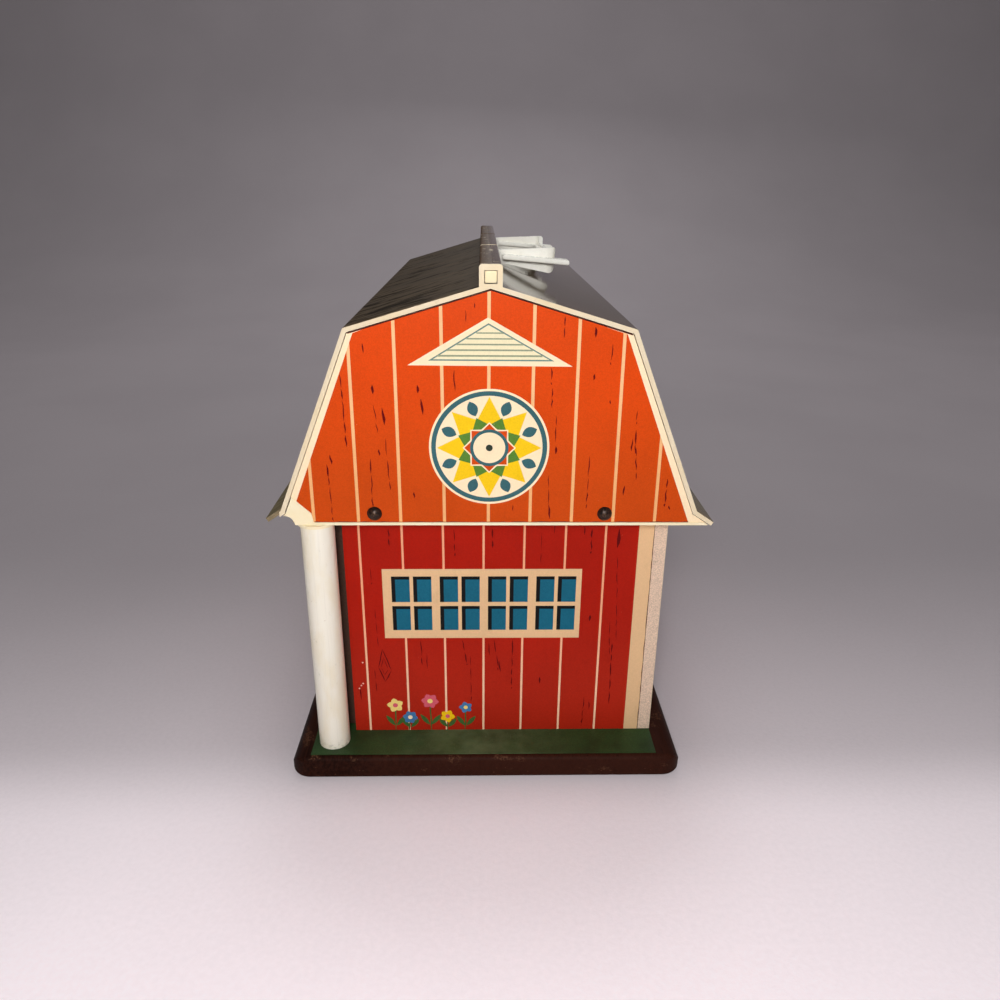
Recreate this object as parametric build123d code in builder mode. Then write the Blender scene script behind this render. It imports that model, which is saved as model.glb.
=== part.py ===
from build123d import *
import math
import os

# Toy barn with a gambrel roof, a carrying handle on the ridge and a front wall that swings open.
# Millimetres. X runs to the right across the near gable, Y away from it and Z up.
# The origin is on the floor, under the middle of the barn.

# Base board and the printed ground sheet on it, set by the roof above
base_apron = 7.6
base_side_inset = 2.7
base_side_shift = 1.0
base_thick = 12.0
base_corner_r = 10.0
base_side_r = 9.0
base_end_r = 2.6
base_bottom_r = 1.5
sheet_thick = 0.4
sheet_left_border = 10.6
sheet_end_border = 2.9

# Walls, measured from the ground sheet, the gable faces and the eaves
wall_thick = 6.0
wall_height = 123.7
wall_setback = 14.4
back_wall_overhang = 17.1
front_wall_overhang = 32.3
corner_strip_side = 9.0

# Loft floor, which carries the roof
loft_thick = 11.0
loft_side_gap = 0.4

# Roof, a gambrel with flared eaves and a box along the ridge
roof_length = 325.0
roof_thick = 2.0
eave_half = 101.9
eave_rise = 1.4
eave_flare = 8.2
bend_rise = 6.85
steep_run = 32.7
knee_rise = 88.1
apex_rise = 106.3
ridge_half = 4.8
ridge_rise = 113.9
ridge_corner_r = 1.4
ridge_axis_drop = 5.1
ridge_bore_side = 5.3
ridge_bore_depth = 11.0
ridge_plug_gap = 0.3
ridge_plug_recess = 1.2
ridge_plug_length = 8.0
worn_eave_length = 4.5
worn_eave_width = 7.6

# Gables, with a moulded sill under each
gable_thick = 3.0
gable_recess = 0.6
gable_gap = 0.5
sill_height = 1.3
gusset_top_beyond_post = 7.0
gusset_top_rise = 11.5
gusset_side_beyond_post = 0.8
gusset_side_rise = 5.7
gusset_notch_r = 4.5
gusset_notch_beyond_post = 13.0

# Corner post under the near gusset
post_r = 7.7
post_overhang = 22.6
post_setback = 6.6
post_flange_thick = 1.3
post_flange_r = 8.7

# Carrying handle
handle_leg_spacing = 106.0
handle_reach = 35.4
handle_tilt = 4.5
handle_band_thick = 2.5
handle_hub_r = 2.5
handle_grip_half = 6.6
handle_end_upper_r = 1.4
handle_end_lower_r = 3.0
handle_corner_r = 5.0
handle_fin_thick = 2.6
handle_fin_width = 6.9
handle_fin_start = 7.3
handle_fin_inner_width = 3.0
handle_fin_edge_r = 0.9
handle_lug_width = 10.9
handle_lug_r = 5.0
handle_lug_root_r = 3.0
handle_saddle_half = 46.0
handle_saddle_height = 4.8
handle_saddle_ramp = 3.5
handle_saddle_r = 2.0
handle_slot_gap = 0.4
handle_slot_floor_gap = 1.3
rod_r = 1.25
rod_gap = 0.05

# Front wing, the long wall that swings out about the far corner
wing_gap = 0.9
wing_end_setback = 5.0
wing_floor_gap = 0.6
wing_top_gap = 0.6
wing_far_gap = 0.4

# Doorway in the front wing
door_frame_width = 112.0
door_frame_height = 92.0
door_frame_member = 5.0
door_threshold = 3.0
door_flange_width = 3.0
door_flange_thick = 1.0
door_frame_fit = 0.1
door_thick = 4.0
door_proud = 1.0
door_edge_gap = 0.5
door_middle_gap = 0.3
door_stub_r = 1.5
door_stub_length = 2.0
door_stub_gap = 0.05
knob_r = 3.2
knob_neck_r = 1.6
knob_length = 6.0
knob_edge_margin = 7.0
knob_spigot_length = 2.0

# Butt hinges of the front wing
hinge_height = 22.0
hinge_leaf_width = 16.0
hinge_leaf_thick = 1.0
hinge_barrel_r = 2.0
hinge_axis_offset = 1.7
hinge_pin_r = 1.0
hinge_pin_gap = 0.05
hinge_knuckle_gap = 0.3
hinge_sweep_gap = 0.4
hinge_end_margin = 15.0
hinge_pin_head_r = 1.7
hinge_pin_head = 0.6

# Catch peg that holds the front wing shut
peg_r = 2.0
peg_gap = 0.3
peg_reach = 2.8
peg_seat = 6.0
peg_rise = 61.0

# Fasteners
fastener_fit = 0.05
board_screw_r = 1.4
board_screw_head_r = 2.9
board_screw_bite = 14.0
end_wall_screw_inset = 24.0
back_wall_screw_inset = 38.1
gable_nail_inset = 50.0
gable_nail_head_r = 3.45
gable_nail_dome = 2.3
gable_nail_r = 1.2
gable_nail_length = 16.0
eave_nail_head_r = 2.0
eave_nail_dome = 0.8
eave_nail_r = 0.8
eave_nail_length = 12.0
eave_nail_rise = 9.0
eave_nail_inset = 27.5
brad_head_r = 1.6
brad_dome = 0.5
brad_r = 0.8
brad_length = 16.0
brad_spacing = 44.0
hinge_screw_head_r = 1.7
hinge_screw_dome = 0.7
hinge_screw_r = 0.9
hinge_screw_length = 5.0
hinge_screw_spacing = 12.0
hinge_screw_margin = 4.0

# Heights and planes that follow from the sizes above
base_length = roof_length + 2 * base_apron
base_width = 2 * (eave_half - base_side_inset)
base_middle_x = -base_side_shift
bend_half = eave_half - eave_flare
knee_half = bend_half - steep_run
back_wall_x = eave_half - back_wall_overhang
wall_left = eave_half - front_wall_overhang
post_x = eave_half - post_overhang
gable_nail_x = eave_half - gable_nail_inset
gusset_side_x = post_x + gusset_side_beyond_post
gusset_top_x = post_x + gusset_top_beyond_post
gusset_notch_x = post_x + gusset_notch_beyond_post
floor_z = base_thick + sheet_thick
loft_z = floor_z + wall_height
loft_top = loft_z + loft_thick
ridge_top = loft_z + ridge_rise
pivot_z = ridge_top - ridge_axis_drop
near_y = -roof_length / 2
far_y = roof_length / 2
near_wall_y = near_y + wall_setback
far_wall_y = far_y - wall_setback
back_wall_inner_x = back_wall_x - wall_thick
wing_inner_x = -wall_left - wing_gap
wing_outer_x = wing_inner_x - wall_thick
hinge_x = wing_outer_x - hinge_axis_offset
hinge_y = far_wall_y + hinge_axis_offset
post_y = near_y + post_setback
panel_bottom = loft_z + sill_height
steep_angle = math.degrees(math.atan2(knee_rise - bend_rise, bend_half - knee_half))


def board(x_low, x_high, y_low, y_high, z_low, z_high):
    """Add a rectangular board between the given planes to the part being built."""
    with Locations(((x_low + x_high) / 2, (y_low + y_high) / 2, (z_low + z_high) / 2)):
        Box(x_high - x_low, y_high - y_low, z_high - z_low)


def drill(places, hole):
    """Cut a hole of the given shape from the part being built at each place."""
    with Locations(*places):
        add(hole, mode=Mode.SUBTRACT)


def drive(places, fastener):
    """One node's fasteners, a copy at each place."""
    with BuildPart() as group:
        with Locations(*places):
            add(fastener)
    return group


def countersunk_screw(head_r, shank_r, length, grow=0.0):
    """A screw with its flat head in the plane z = 0 and its shank along -Z, all radii grown alike."""
    with BuildPart() as screw:
        with BuildSketch(Plane.XZ):
            with BuildLine():
                Polyline(
                    (0, 0),
                    (head_r + grow, 0),
                    (shank_r + grow, shank_r - head_r),
                    (shank_r + grow, -length - grow),
                    (0, -length - grow),
                    close=True,
                )
            make_face()
        revolve(axis=Axis.Z)
    return screw.part


def domed_nail(head_r, dome, shank_r, length):
    """A nail with a domed head that stands on z = 0 and its shank along -Z."""
    dome_r = (head_r**2 + dome**2) / (2 * dome)
    with BuildPart() as nail:
        with BuildSketch(Plane.XZ):
            with BuildLine():
                RadiusArc((0, dome), (head_r, 0), dome_r)
                Polyline((head_r, 0), (shank_r, 0), (shank_r, -length), (0, -length), (0, dome))
            make_face()
        revolve(axis=Axis.Z)
    return nail.part


def shank_hole(shank_r, length):
    """The hole that a nail's shank stands in, from z = 0 down."""
    with BuildPart() as hole:
        with Locations((0, 0, (fastener_fit - length) / 2)):
            Cylinder(shank_r + fastener_fit, length + 3 * fastener_fit)
    return hole.part


def roof_knots(inset):
    """Apex, knee and bend of the roof's right half and the line of its flare, moved in by inset.

    Returns the three corner points and the eave tip, each pair of neighbouring lines mitred.
    """
    knots = [
        (0, loft_z + apex_rise),
        (knee_half, loft_z + knee_rise),
        (bend_half, loft_z + bend_rise),
        (eave_half, loft_z + eave_rise),
    ]
    moved = []
    for (x0, z0), (x1, z1) in zip(knots, knots[1:]):
        length = math.hypot(x1 - x0, z1 - z0)
        normal = ((z1 - z0) / length, (x0 - x1) / length)
        moved.append(((x0 + inset * normal[0], z0 + inset * normal[1]), (x1 - x0, z1 - z0)))
    (x0, z0), (dx, dz) = moved[0]
    corners = [(0, z0 - x0 * dz / dx)]
    for ((x0, z0), (dx0, dz0)), ((x1, z1), (dx1, dz1)) in zip(moved, moved[1:]):
        along = ((x1 - x0) * dz1 - (z1 - z0) * dx1) / (dx0 * dz1 - dz0 * dx1)
        corners.append((x0 + along * dx0, z0 + along * dz0))
    (x0, z0), (dx, dz) = moved[2]
    corners.append((x0 + dx, z0 + dz))
    return corners


def mirrored_outline(half):
    """A closed outline from its right half, which runs from the middle to the right end."""
    return half + [(-x, z) for x, z in reversed(half) if x > 0]


def gable_outline(inset, bottom):
    """The gable's outline inside the roof, cut off level at the given height."""
    apex, knee, bend, tip = roof_knots(inset)
    reach = (bend[1] - bottom) / (bend[1] - tip[1])
    corner = (bend[0] + reach * (tip[0] - bend[0]), bottom)
    return mirrored_outline([apex, knee, bend, corner])


def gusset_edge(gap):
    """The edge between panel and gusset, from its far left end to its foot, moved right by gap."""
    slope = (gusset_top_rise - gusset_side_rise) / (gusset_top_x - gusset_side_x)
    end_x = -base_width
    return [
        (end_x, loft_z + gusset_side_rise + slope * (gap - gusset_side_x - end_x)),
        (gap - gusset_side_x, loft_z + gusset_side_rise),
        (gap - post_x, panel_bottom),
    ]


# Places of the fasteners that join the boards, each list for one board edge
end_wall_screw_x = (end_wall_screw_inset - wall_left, back_wall_inner_x - end_wall_screw_inset)
back_wall_screw_y = (near_wall_y + back_wall_screw_inset, 0, far_wall_y - back_wall_screw_inset)
wall_screw_points = [
    *[(x, near_wall_y + wall_thick / 2) for x in end_wall_screw_x],
    *[(back_wall_x - wall_thick / 2, y) for y in back_wall_screw_y],
    *[(x, far_wall_y - wall_thick / 2) for x in end_wall_screw_x],
    (-post_x, post_y),
]
base_screw_length = base_thick + sheet_thick + board_screw_bite
loft_screw_length = loft_thick + board_screw_bite
base_screw_places = [Location((x, y, 0), (180, 0, 0)) for x, y in wall_screw_points]
loft_screw_places = [Location((x, y, loft_top)) for x, y in wall_screw_points]
gable_nail_z = loft_z + loft_thick / 2
near_nail_places = [
    Location((x, near_y + gable_recess, gable_nail_z), (90, 0, 0)) for x in (-gable_nail_x, gable_nail_x)
]
far_nail_places = [
    Location((x, far_y - gable_recess, gable_nail_z), (-90, 0, 0)) for x in (-gable_nail_x, gable_nail_x)
]
eave_nail_z = loft_z + eave_nail_rise
eave_nail_x = bend_half - (eave_nail_z - loft_z - bend_rise) / math.tan(math.radians(steep_angle))
eave_nail_places = [
    Location((side * eave_nail_x, share * (far_y - eave_nail_inset), eave_nail_z), (0, side * steep_angle, 0))
    for side in (-1, 1)
    for share in (-1, -1 / 3, 1 / 3, 1)
]
brad_places = [
    Location((back_wall_x, y, floor_z + wall_height / 2 + step * brad_spacing), (0, 90, 0))
    for y in (near_wall_y + wall_thick / 2, far_wall_y - wall_thick / 2)
    for step in (-1, 0, 1)
]

base_screw = countersunk_screw(board_screw_head_r, board_screw_r, base_screw_length)
base_screw_hole = countersunk_screw(
    board_screw_head_r, board_screw_r, base_screw_length, grow=fastener_fit
)
loft_screw = countersunk_screw(board_screw_head_r, board_screw_r, loft_screw_length)
loft_screw_hole = countersunk_screw(
    board_screw_head_r, board_screw_r, loft_screw_length, grow=fastener_fit
)
gable_nail = domed_nail(gable_nail_head_r, gable_nail_dome, gable_nail_r, gable_nail_length)
gable_nail_hole = shank_hole(gable_nail_r, gable_nail_length)
eave_nail = domed_nail(eave_nail_head_r, eave_nail_dome, eave_nail_r, eave_nail_length)
eave_nail_hole = shank_hole(eave_nail_r, eave_nail_length)
brad = domed_nail(brad_head_r, brad_dome, brad_r, brad_length)
brad_hole = shank_hole(brad_r, brad_length)
hinge_screw = domed_nail(hinge_screw_head_r, hinge_screw_dome, hinge_screw_r, hinge_screw_length)
hinge_screw_hole = shank_hole(hinge_screw_r, hinge_screw_length)

# Base board with rounded corners, its long edges rounded over and its ends eased
with BuildPart() as base_board:
    with BuildSketch():
        with Locations((base_middle_x, 0)):
            RectangleRounded(base_width, base_length, base_corner_r)
    extrude(amount=base_thick)
    fillet(base_board.faces().sort_by(Axis.Z)[-1].edges(), base_end_r)
    fillet(base_board.faces().sort_by(Axis.Z)[0].edges(), base_bottom_r)
    with BuildSketch(Plane.XZ) as base_profile:
        with Locations((base_middle_x, base_thick / 2)):
            Rectangle(base_width, base_thick)
        fillet(base_profile.vertices().group_by(Axis.Y)[-1], base_side_r)
    extrude(amount=base_length, both=True, mode=Mode.INTERSECT)
    drill(base_screw_places, base_screw_hole)

# Green ground sheet on the base board, flush with the back wall's outer face
sheet_left = base_middle_x - base_width / 2 + sheet_left_border
with BuildPart() as ground_sheet:
    with BuildSketch(Plane.XY.offset(base_thick)):
        with Locations(((sheet_left + back_wall_x) / 2, 0)):
            Rectangle(back_wall_x - sheet_left, base_length - 2 * sheet_end_border)
    extrude(amount=sheet_thick)
    drill(base_screw_places, base_screw_hole)

# End walls and back wall
with BuildPart() as near_wall:
    board(-wall_left, back_wall_inner_x, near_wall_y, near_wall_y + wall_thick, floor_z, loft_z)
    drill(base_screw_places, base_screw_hole)
    drill(loft_screw_places, loft_screw_hole)
    drill(brad_places, brad_hole)

# The far wall also takes the screws of the wing's fixed hinge leaves
hinge_centres_z = (
    floor_z + hinge_end_margin + hinge_height / 2,
    loft_z - hinge_end_margin - hinge_height / 2,
)
fixed_leaf_x = hinge_x + hinge_axis_offset + wing_gap + wall_thick + hinge_leaf_width
fixed_screw_places = [
    Location((fixed_leaf_x - hinge_screw_margin, far_wall_y + hinge_leaf_thick, z + side), (-90, 0, 0))
    for z in hinge_centres_z
    for side in (-hinge_screw_spacing / 2, hinge_screw_spacing / 2)
]
with BuildPart() as far_wall:
    board(-wall_left, back_wall_inner_x, far_wall_y - wall_thick, far_wall_y, floor_z, loft_z)
    drill(base_screw_places, base_screw_hole)
    drill(loft_screw_places, loft_screw_hole)
    drill(brad_places, brad_hole)
    drill(fixed_screw_places, hinge_screw_hole)

with BuildPart() as back_wall:
    board(back_wall_inner_x, back_wall_x, near_wall_y, far_wall_y, floor_z, loft_z)
    drill(base_screw_places, base_screw_hole)
    drill(loft_screw_places, loft_screw_hole)
    drill(brad_places, brad_hole)

# Corner strip behind the near wall, which stops the closed front wing and holds its catch peg
strip_x = -wall_left - wing_gap / 2
strip_y = near_wall_y + wall_thick
peg_y = strip_y + corner_strip_side / 2
peg_z = floor_z + peg_rise
with BuildPart() as near_corner_strip:
    board(strip_x, strip_x + corner_strip_side, strip_y, strip_y + corner_strip_side, floor_z, loft_z)
    with BuildSketch(Plane.YZ.offset(strip_x)):
        with Locations((peg_y, peg_z)):
            Circle(peg_r + fastener_fit)
    extrude(amount=peg_seat, mode=Mode.SUBTRACT)

# Catch peg with a domed tip
peg_tip_x = wing_inner_x - peg_reach
with BuildPart() as catch_peg:
    with BuildSketch(Plane.YZ.offset(peg_tip_x)):
        with Locations((peg_y, peg_z)):
            Circle(peg_r)
    extrude(amount=strip_x + peg_seat - fastener_fit - peg_tip_x)
    fillet(catch_peg.edges().sort_by(Axis.X)[0], 0.6 * peg_r)

# Corner post, a round dowel from the ground sheet to the flange under the near gusset
flange_z = loft_z - post_flange_thick
with BuildPart() as corner_post:
    with Locations((-post_x, post_y, (floor_z + flange_z) / 2)):
        Cylinder(post_r, flange_z - floor_z)
    drill(base_screw_places, base_screw_hole)
    drill(loft_screw_places, loft_screw_hole)

# Loft floor between the gables, under the roof
loft_half = roof_knots(roof_thick)[2][0] - loft_side_gap
loft_half -= (loft_top - roof_knots(roof_thick)[2][1]) / math.tan(math.radians(steep_angle))
loft_near_y = near_y + gable_recess + gable_thick
with BuildPart() as loft_floor:
    board(-loft_half, loft_half, loft_near_y, -loft_near_y, loft_z, loft_top)
    drill(loft_screw_places, loft_screw_hole)
    drill(near_nail_places + far_nail_places, gable_nail_hole)
    drill(eave_nail_places, eave_nail_hole)

# Gable panels, the near one cut away for the gusset
with BuildPart() as near_gable_panel:
    with BuildSketch(Plane((0, near_y + gable_recess, 0), x_dir=(1, 0, 0), z_dir=(0, -1, 0))):
        Polygon(*gable_outline(roof_thick + gable_gap, panel_bottom), align=None)
        Polygon(
            *gusset_edge(gable_gap / 2),
            (gable_gap / 2 - post_x, loft_z),
            (-base_width, loft_z),
            align=None,
            mode=Mode.SUBTRACT,
        )
    extrude(amount=-gable_thick)
    drill(near_nail_places, gable_nail_hole)

with BuildPart() as far_gable_panel:
    with BuildSketch(Plane((0, far_y - gable_recess, 0), x_dir=(1, 0, 0), z_dir=(0, -1, 0))):
        Polygon(*gable_outline(roof_thick + gable_gap, panel_bottom), align=None)
    extrude(amount=gable_thick)
    drill(far_nail_places, gable_nail_hole)

# Near sill: a strip under the panel with the gusset at its left end and the post's flange below
sill_depth = gable_recess + gable_thick
with BuildPart() as near_sill:
    with BuildSketch(Plane((0, near_y, 0), x_dir=(1, 0, 0), z_dir=(0, -1, 0))):
        Polygon(*gable_outline(roof_thick + gable_gap, loft_z), align=None)
        Polygon(
            *gusset_edge(0),
            (eave_half, panel_bottom),
            (eave_half, ridge_top),
            (-base_width, ridge_top),
            align=None,
            mode=Mode.SUBTRACT,
        )
        with Locations((-gusset_notch_x, loft_z)):
            Circle(gusset_notch_r, mode=Mode.SUBTRACT)
        with Locations((-gusset_notch_x - gusset_notch_r, loft_z)):
            Rectangle(2 * gusset_notch_r, 2 * gusset_notch_r, mode=Mode.SUBTRACT)
    extrude(amount=-sill_depth)
    with Locations((-post_x, post_y, loft_z - post_flange_thick / 2)):
        Cylinder(post_flange_r, post_flange_thick)
    drill(loft_screw_places, loft_screw_hole)

with BuildPart() as far_sill:
    with BuildSketch(Plane((0, far_y, 0), x_dir=(1, 0, 0), z_dir=(0, -1, 0))):
        Polygon(*gable_outline(roof_thick + gable_gap, loft_z), align=None)
        with Locations((0, loft_z)):
            Rectangle(2 * eave_half, 2 * sill_height, mode=Mode.INTERSECT)
    extrude(amount=sill_depth)

# Roof shell, one moulding with the ridge box, slotted for the handle's legs
leg_middle = handle_leg_spacing / 2
ridge_bottom = roof_knots(roof_thick)[0][1]
with BuildPart() as roof_shell:
    with BuildSketch(Plane.XZ):
        Polygon(*mirrored_outline(roof_knots(0) + roof_knots(roof_thick)[:0:-1]), align=None)
        Polygon(*mirrored_outline(roof_knots(roof_thick)), align=None, mode=Mode.SUBTRACT)
    extrude(amount=roof_length / 2, both=True)
    with BuildSketch(Plane.XZ) as ridge_box:
        with Locations((0, (ridge_bottom + ridge_top) / 2)):
            Rectangle(2 * ridge_half, ridge_top - ridge_bottom)
        fillet(ridge_box.vertices().group_by(Axis.Y)[-1], ridge_corner_r)
    extrude(amount=roof_length / 2, both=True)
    with BuildSketch(Plane.XZ):
        with Locations((0, pivot_z)):
            Circle(rod_r + rod_gap)
    extrude(amount=roof_length / 2, both=True, mode=Mode.SUBTRACT)
    for end in (-1, 1):
        with Locations((0, end * (roof_length - ridge_bore_depth) / 2, pivot_z)):
            Box(ridge_bore_side, ridge_bore_depth, ridge_bore_side, mode=Mode.SUBTRACT)
    slot_bottom = pivot_z - handle_hub_r - handle_slot_floor_gap
    for side in (-1, 1):
        with Locations((0, side * (leg_middle - handle_band_thick / 2), (slot_bottom + ridge_top) / 2)):
            Box(
                2 * ridge_half,
                handle_band_thick + 2 * handle_slot_gap,
                ridge_top - slot_bottom,
                mode=Mode.SUBTRACT,
            )
    with Locations((worn_eave_width / 2 - eave_half, near_y + worn_eave_length / 2, loft_z + eave_rise)):
        Box(
            worn_eave_width,
            worn_eave_length,
            3 * (bend_rise - eave_rise),
            mode=Mode.SUBTRACT,
        )
    drill(eave_nail_places, eave_nail_hole)

# Plugs in the ends of the ridge box
plug_side = ridge_bore_side - 2 * ridge_plug_gap
plug_middle = roof_length / 2 - ridge_plug_recess - ridge_plug_length / 2
with BuildPart() as near_ridge_plug:
    with Locations((0, -plug_middle, pivot_z)):
        Box(plug_side, ridge_plug_length, plug_side)

with BuildPart() as far_ridge_plug:
    with Locations((0, plug_middle, pivot_z)):
        Box(plug_side, ridge_plug_length, plug_side)

# Long wire rod through the ridge box and both legs of the handle
rod_half = roof_length / 2 - ridge_bore_depth
with BuildPart() as handle_rod:
    with BuildSketch(Plane.XZ):
        with Locations((0, pivot_z)):
            Circle(rod_r)
    extrude(amount=rod_half, both=True)

# The folded handle lies in a plane that slopes down from the rod to the right
tilt_sin = math.sin(math.radians(handle_tilt))
tilt_cos = math.cos(math.radians(handle_tilt))
handle_plan = Plane((0, 0, pivot_z), x_dir=(tilt_cos, 0, -tilt_sin), z_dir=(tilt_sin, 0, tilt_cos))
handle_side = Plane((0, 0, pivot_z), x_dir=(tilt_cos, 0, -tilt_sin), z_dir=(0, -1, 0))
leg_outer = leg_middle
leg_inner = leg_middle - handle_band_thick

# Fin round both sides of the handle, with a lug that stands out beyond the grip at the end of each leg
fin_reach = handle_reach + handle_fin_width
fin_half = leg_outer + handle_fin_width
fin_gap_reach = handle_reach - handle_band_thick - handle_fin_inner_width
fin_gap_half = leg_inner - handle_fin_inner_width
with BuildPart() as fin:
    with BuildSketch(handle_plan) as fin_plan:
        with Locations(((handle_fin_start + fin_reach) / 2, 0)):
            Rectangle(fin_reach - handle_fin_start, 2 * fin_half)
        with Locations((fin_reach, 0)):
            Rectangle(2 * handle_fin_width, 2 * (fin_half - handle_lug_width), mode=Mode.SUBTRACT)
        Rectangle(2 * fin_gap_reach, 2 * fin_gap_half, mode=Mode.SUBTRACT)
        fin_gap_corners, lug_roots, lug_tips = fin_plan.vertices().group_by(Axis.X)[1:]
        fillet(fin_gap_corners, handle_corner_r)
        fillet(lug_roots, handle_lug_root_r)
        fillet(lug_tips, handle_lug_r)
    extrude(amount=handle_fin_thick / 2, both=True)
    fillet(fin.faces().filter_by(handle_plan).edges(), handle_fin_edge_r)

# Carrying handle: a bent band that widens from the rod to its end and is lower along the grip
saddle_rise = handle_saddle_height / 2
saddle_end = handle_saddle_half + handle_saddle_ramp
across_grip = Plane((0, 0, pivot_z), x_dir=(0, 1, 0), z_dir=(tilt_cos, 0, -tilt_sin))
with BuildPart() as handle:
    with BuildSketch(handle_side):
        Circle(handle_hub_r)
        with Locations((handle_reach - handle_end_upper_r, handle_grip_half - handle_end_upper_r)):
            Circle(handle_end_upper_r)
        with Locations((handle_reach - handle_end_lower_r, handle_end_lower_r - handle_grip_half)):
            Circle(handle_end_lower_r)
        make_hull()
    extrude(amount=leg_outer, both=True)
    with BuildSketch(handle_plan) as band_plan:
        with Locations(((handle_reach - handle_hub_r) / 2, 0)):
            Rectangle(handle_reach + handle_hub_r, 2 * leg_outer)
        with Locations(((handle_reach - handle_band_thick - handle_hub_r) / 2, 0)):
            Rectangle(handle_reach - handle_band_thick + handle_hub_r, 2 * leg_inner, mode=Mode.SUBTRACT)
        fillet(band_plan.vertices().group_by(Axis.X)[-2], handle_corner_r - handle_band_thick)
        fillet(band_plan.vertices().group_by(Axis.X)[-1], handle_corner_r)
    extrude(amount=handle_grip_half, both=True, mode=Mode.INTERSECT)
    for side in (-1, 1):
        with BuildSketch(across_grip.offset(fin_gap_reach)) as saddle:
            Polygon(
                (-saddle_end, 2 * side * handle_grip_half),
                (-saddle_end, side * handle_grip_half),
                (-handle_saddle_half, side * saddle_rise),
                (handle_saddle_half, side * saddle_rise),
                (saddle_end, side * handle_grip_half),
                (saddle_end, 2 * side * handle_grip_half),
                align=None,
            )
            fillet(saddle.vertices().sort_by(Axis.Z, reverse=side < 0)[:2], handle_saddle_r)
        extrude(amount=fin_reach - fin_gap_reach, mode=Mode.SUBTRACT)
    add(fin.part)
    with BuildSketch(Plane.XZ):
        with Locations((0, pivot_z)):
            Circle(rod_r + rod_gap)
    extrude(amount=leg_outer, both=True, mode=Mode.SUBTRACT)

# Front wing: the long front wall with its doorway, hung on two butt hinges at the far corner
wing_near_y = near_wall_y + wing_end_setback
wing_far_y = far_wall_y - wing_far_gap
wing_z = floor_z + wing_floor_gap
wing_top = loft_z - wing_top_gap
frame_half = door_frame_width / 2
frame_top = wing_z + door_frame_height
moving_leaf_y = hinge_y - hinge_axis_offset - hinge_leaf_width
moving_screw_places = [
    Location(
        (wing_outer_x - hinge_leaf_thick, moving_leaf_y + hinge_screw_margin, z + side), (0, -90, 0)
    )
    for z in hinge_centres_z
    for side in (-hinge_screw_spacing / 2, hinge_screw_spacing / 2)
]
with BuildPart() as front_wing_wall:
    board(wing_outer_x, wing_inner_x, wing_near_y, wing_far_y, wing_z, wing_top)
    with BuildSketch(Plane.YZ.offset(wing_outer_x)):
        with Locations((0, wing_z + door_frame_height / 2)):
            Rectangle(door_frame_width + 2 * door_frame_fit, door_frame_height + 2 * door_frame_fit)
    extrude(amount=wall_thick, mode=Mode.SUBTRACT)
    with BuildSketch(Plane.YZ.offset(wing_inner_x)):
        with Locations((peg_y, peg_z)):
            Circle(peg_r + peg_gap)
    extrude(amount=-peg_reach - peg_gap, mode=Mode.SUBTRACT)
    drill(moving_screw_places, hinge_screw_hole)

# Door frame with a thin threshold, and a flange that laps the wall
opening_bottom = wing_z + door_threshold
opening_top = frame_top - door_frame_member
opening_half = frame_half - door_frame_member
door_bottom = opening_bottom + door_edge_gap
door_top = opening_top - door_edge_gap
door_face_x = wing_outer_x - door_flange_thick - door_proud
door_axis_x = door_face_x + door_thick / 2
door_axis_y = opening_half - door_edge_gap - door_thick / 2
with BuildPart() as door_frame:
    with BuildSketch(Plane.YZ.offset(wing_outer_x)):
        with Locations((0, (wing_z + frame_top) / 2)):
            Rectangle(door_frame_width, door_frame_height)
    extrude(amount=wall_thick)
    with BuildSketch(Plane.YZ.offset(wing_outer_x)):
        with Locations((0, (wing_z + frame_top + door_flange_width) / 2)):
            Rectangle(door_frame_width + 2 * door_flange_width, door_frame_height + door_flange_width)
    extrude(amount=-door_flange_thick)
    with BuildSketch(Plane.YZ.offset(wing_inner_x)):
        with Locations((0, (opening_bottom + opening_top) / 2)):
            Rectangle(2 * opening_half, opening_top - opening_bottom)
    extrude(amount=-wall_thick - door_flange_thick, mode=Mode.SUBTRACT)
    with Locations(*[(door_axis_x, side * door_axis_y, (door_bottom + door_top) / 2) for side in (-1, 1)]):
        Cylinder(
            door_stub_r + door_stub_gap,
            door_top - door_bottom + 2 * door_stub_length + 2 * door_stub_gap,
            mode=Mode.SUBTRACT,
        )


def barn_door(side):
    """One door leaf with a round hinge edge and pivot stubs, on the far side for 1 or the near for -1."""
    with BuildPart() as door:
        with BuildSketch(Plane.XY.offset(door_bottom)):
            with Locations((door_axis_x, side * (door_axis_y + door_middle_gap) / 2)):
                Rectangle(door_thick, door_axis_y - door_middle_gap)
            with Locations((door_axis_x, side * door_axis_y)):
                Circle(door_thick / 2)
        extrude(amount=door_top - door_bottom)
        with Locations((door_axis_x, side * door_axis_y, (door_bottom + door_top) / 2)):
            Cylinder(door_stub_r, door_top - door_bottom + 2 * door_stub_length)
        with BuildSketch(Plane.YZ.offset(door_face_x)):
            with Locations((side * (door_middle_gap + knob_edge_margin), (door_bottom + door_top) / 2)):
                Circle(knob_neck_r + fastener_fit)
        extrude(amount=knob_spigot_length + fastener_fit, mode=Mode.SUBTRACT)
    return door


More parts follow.
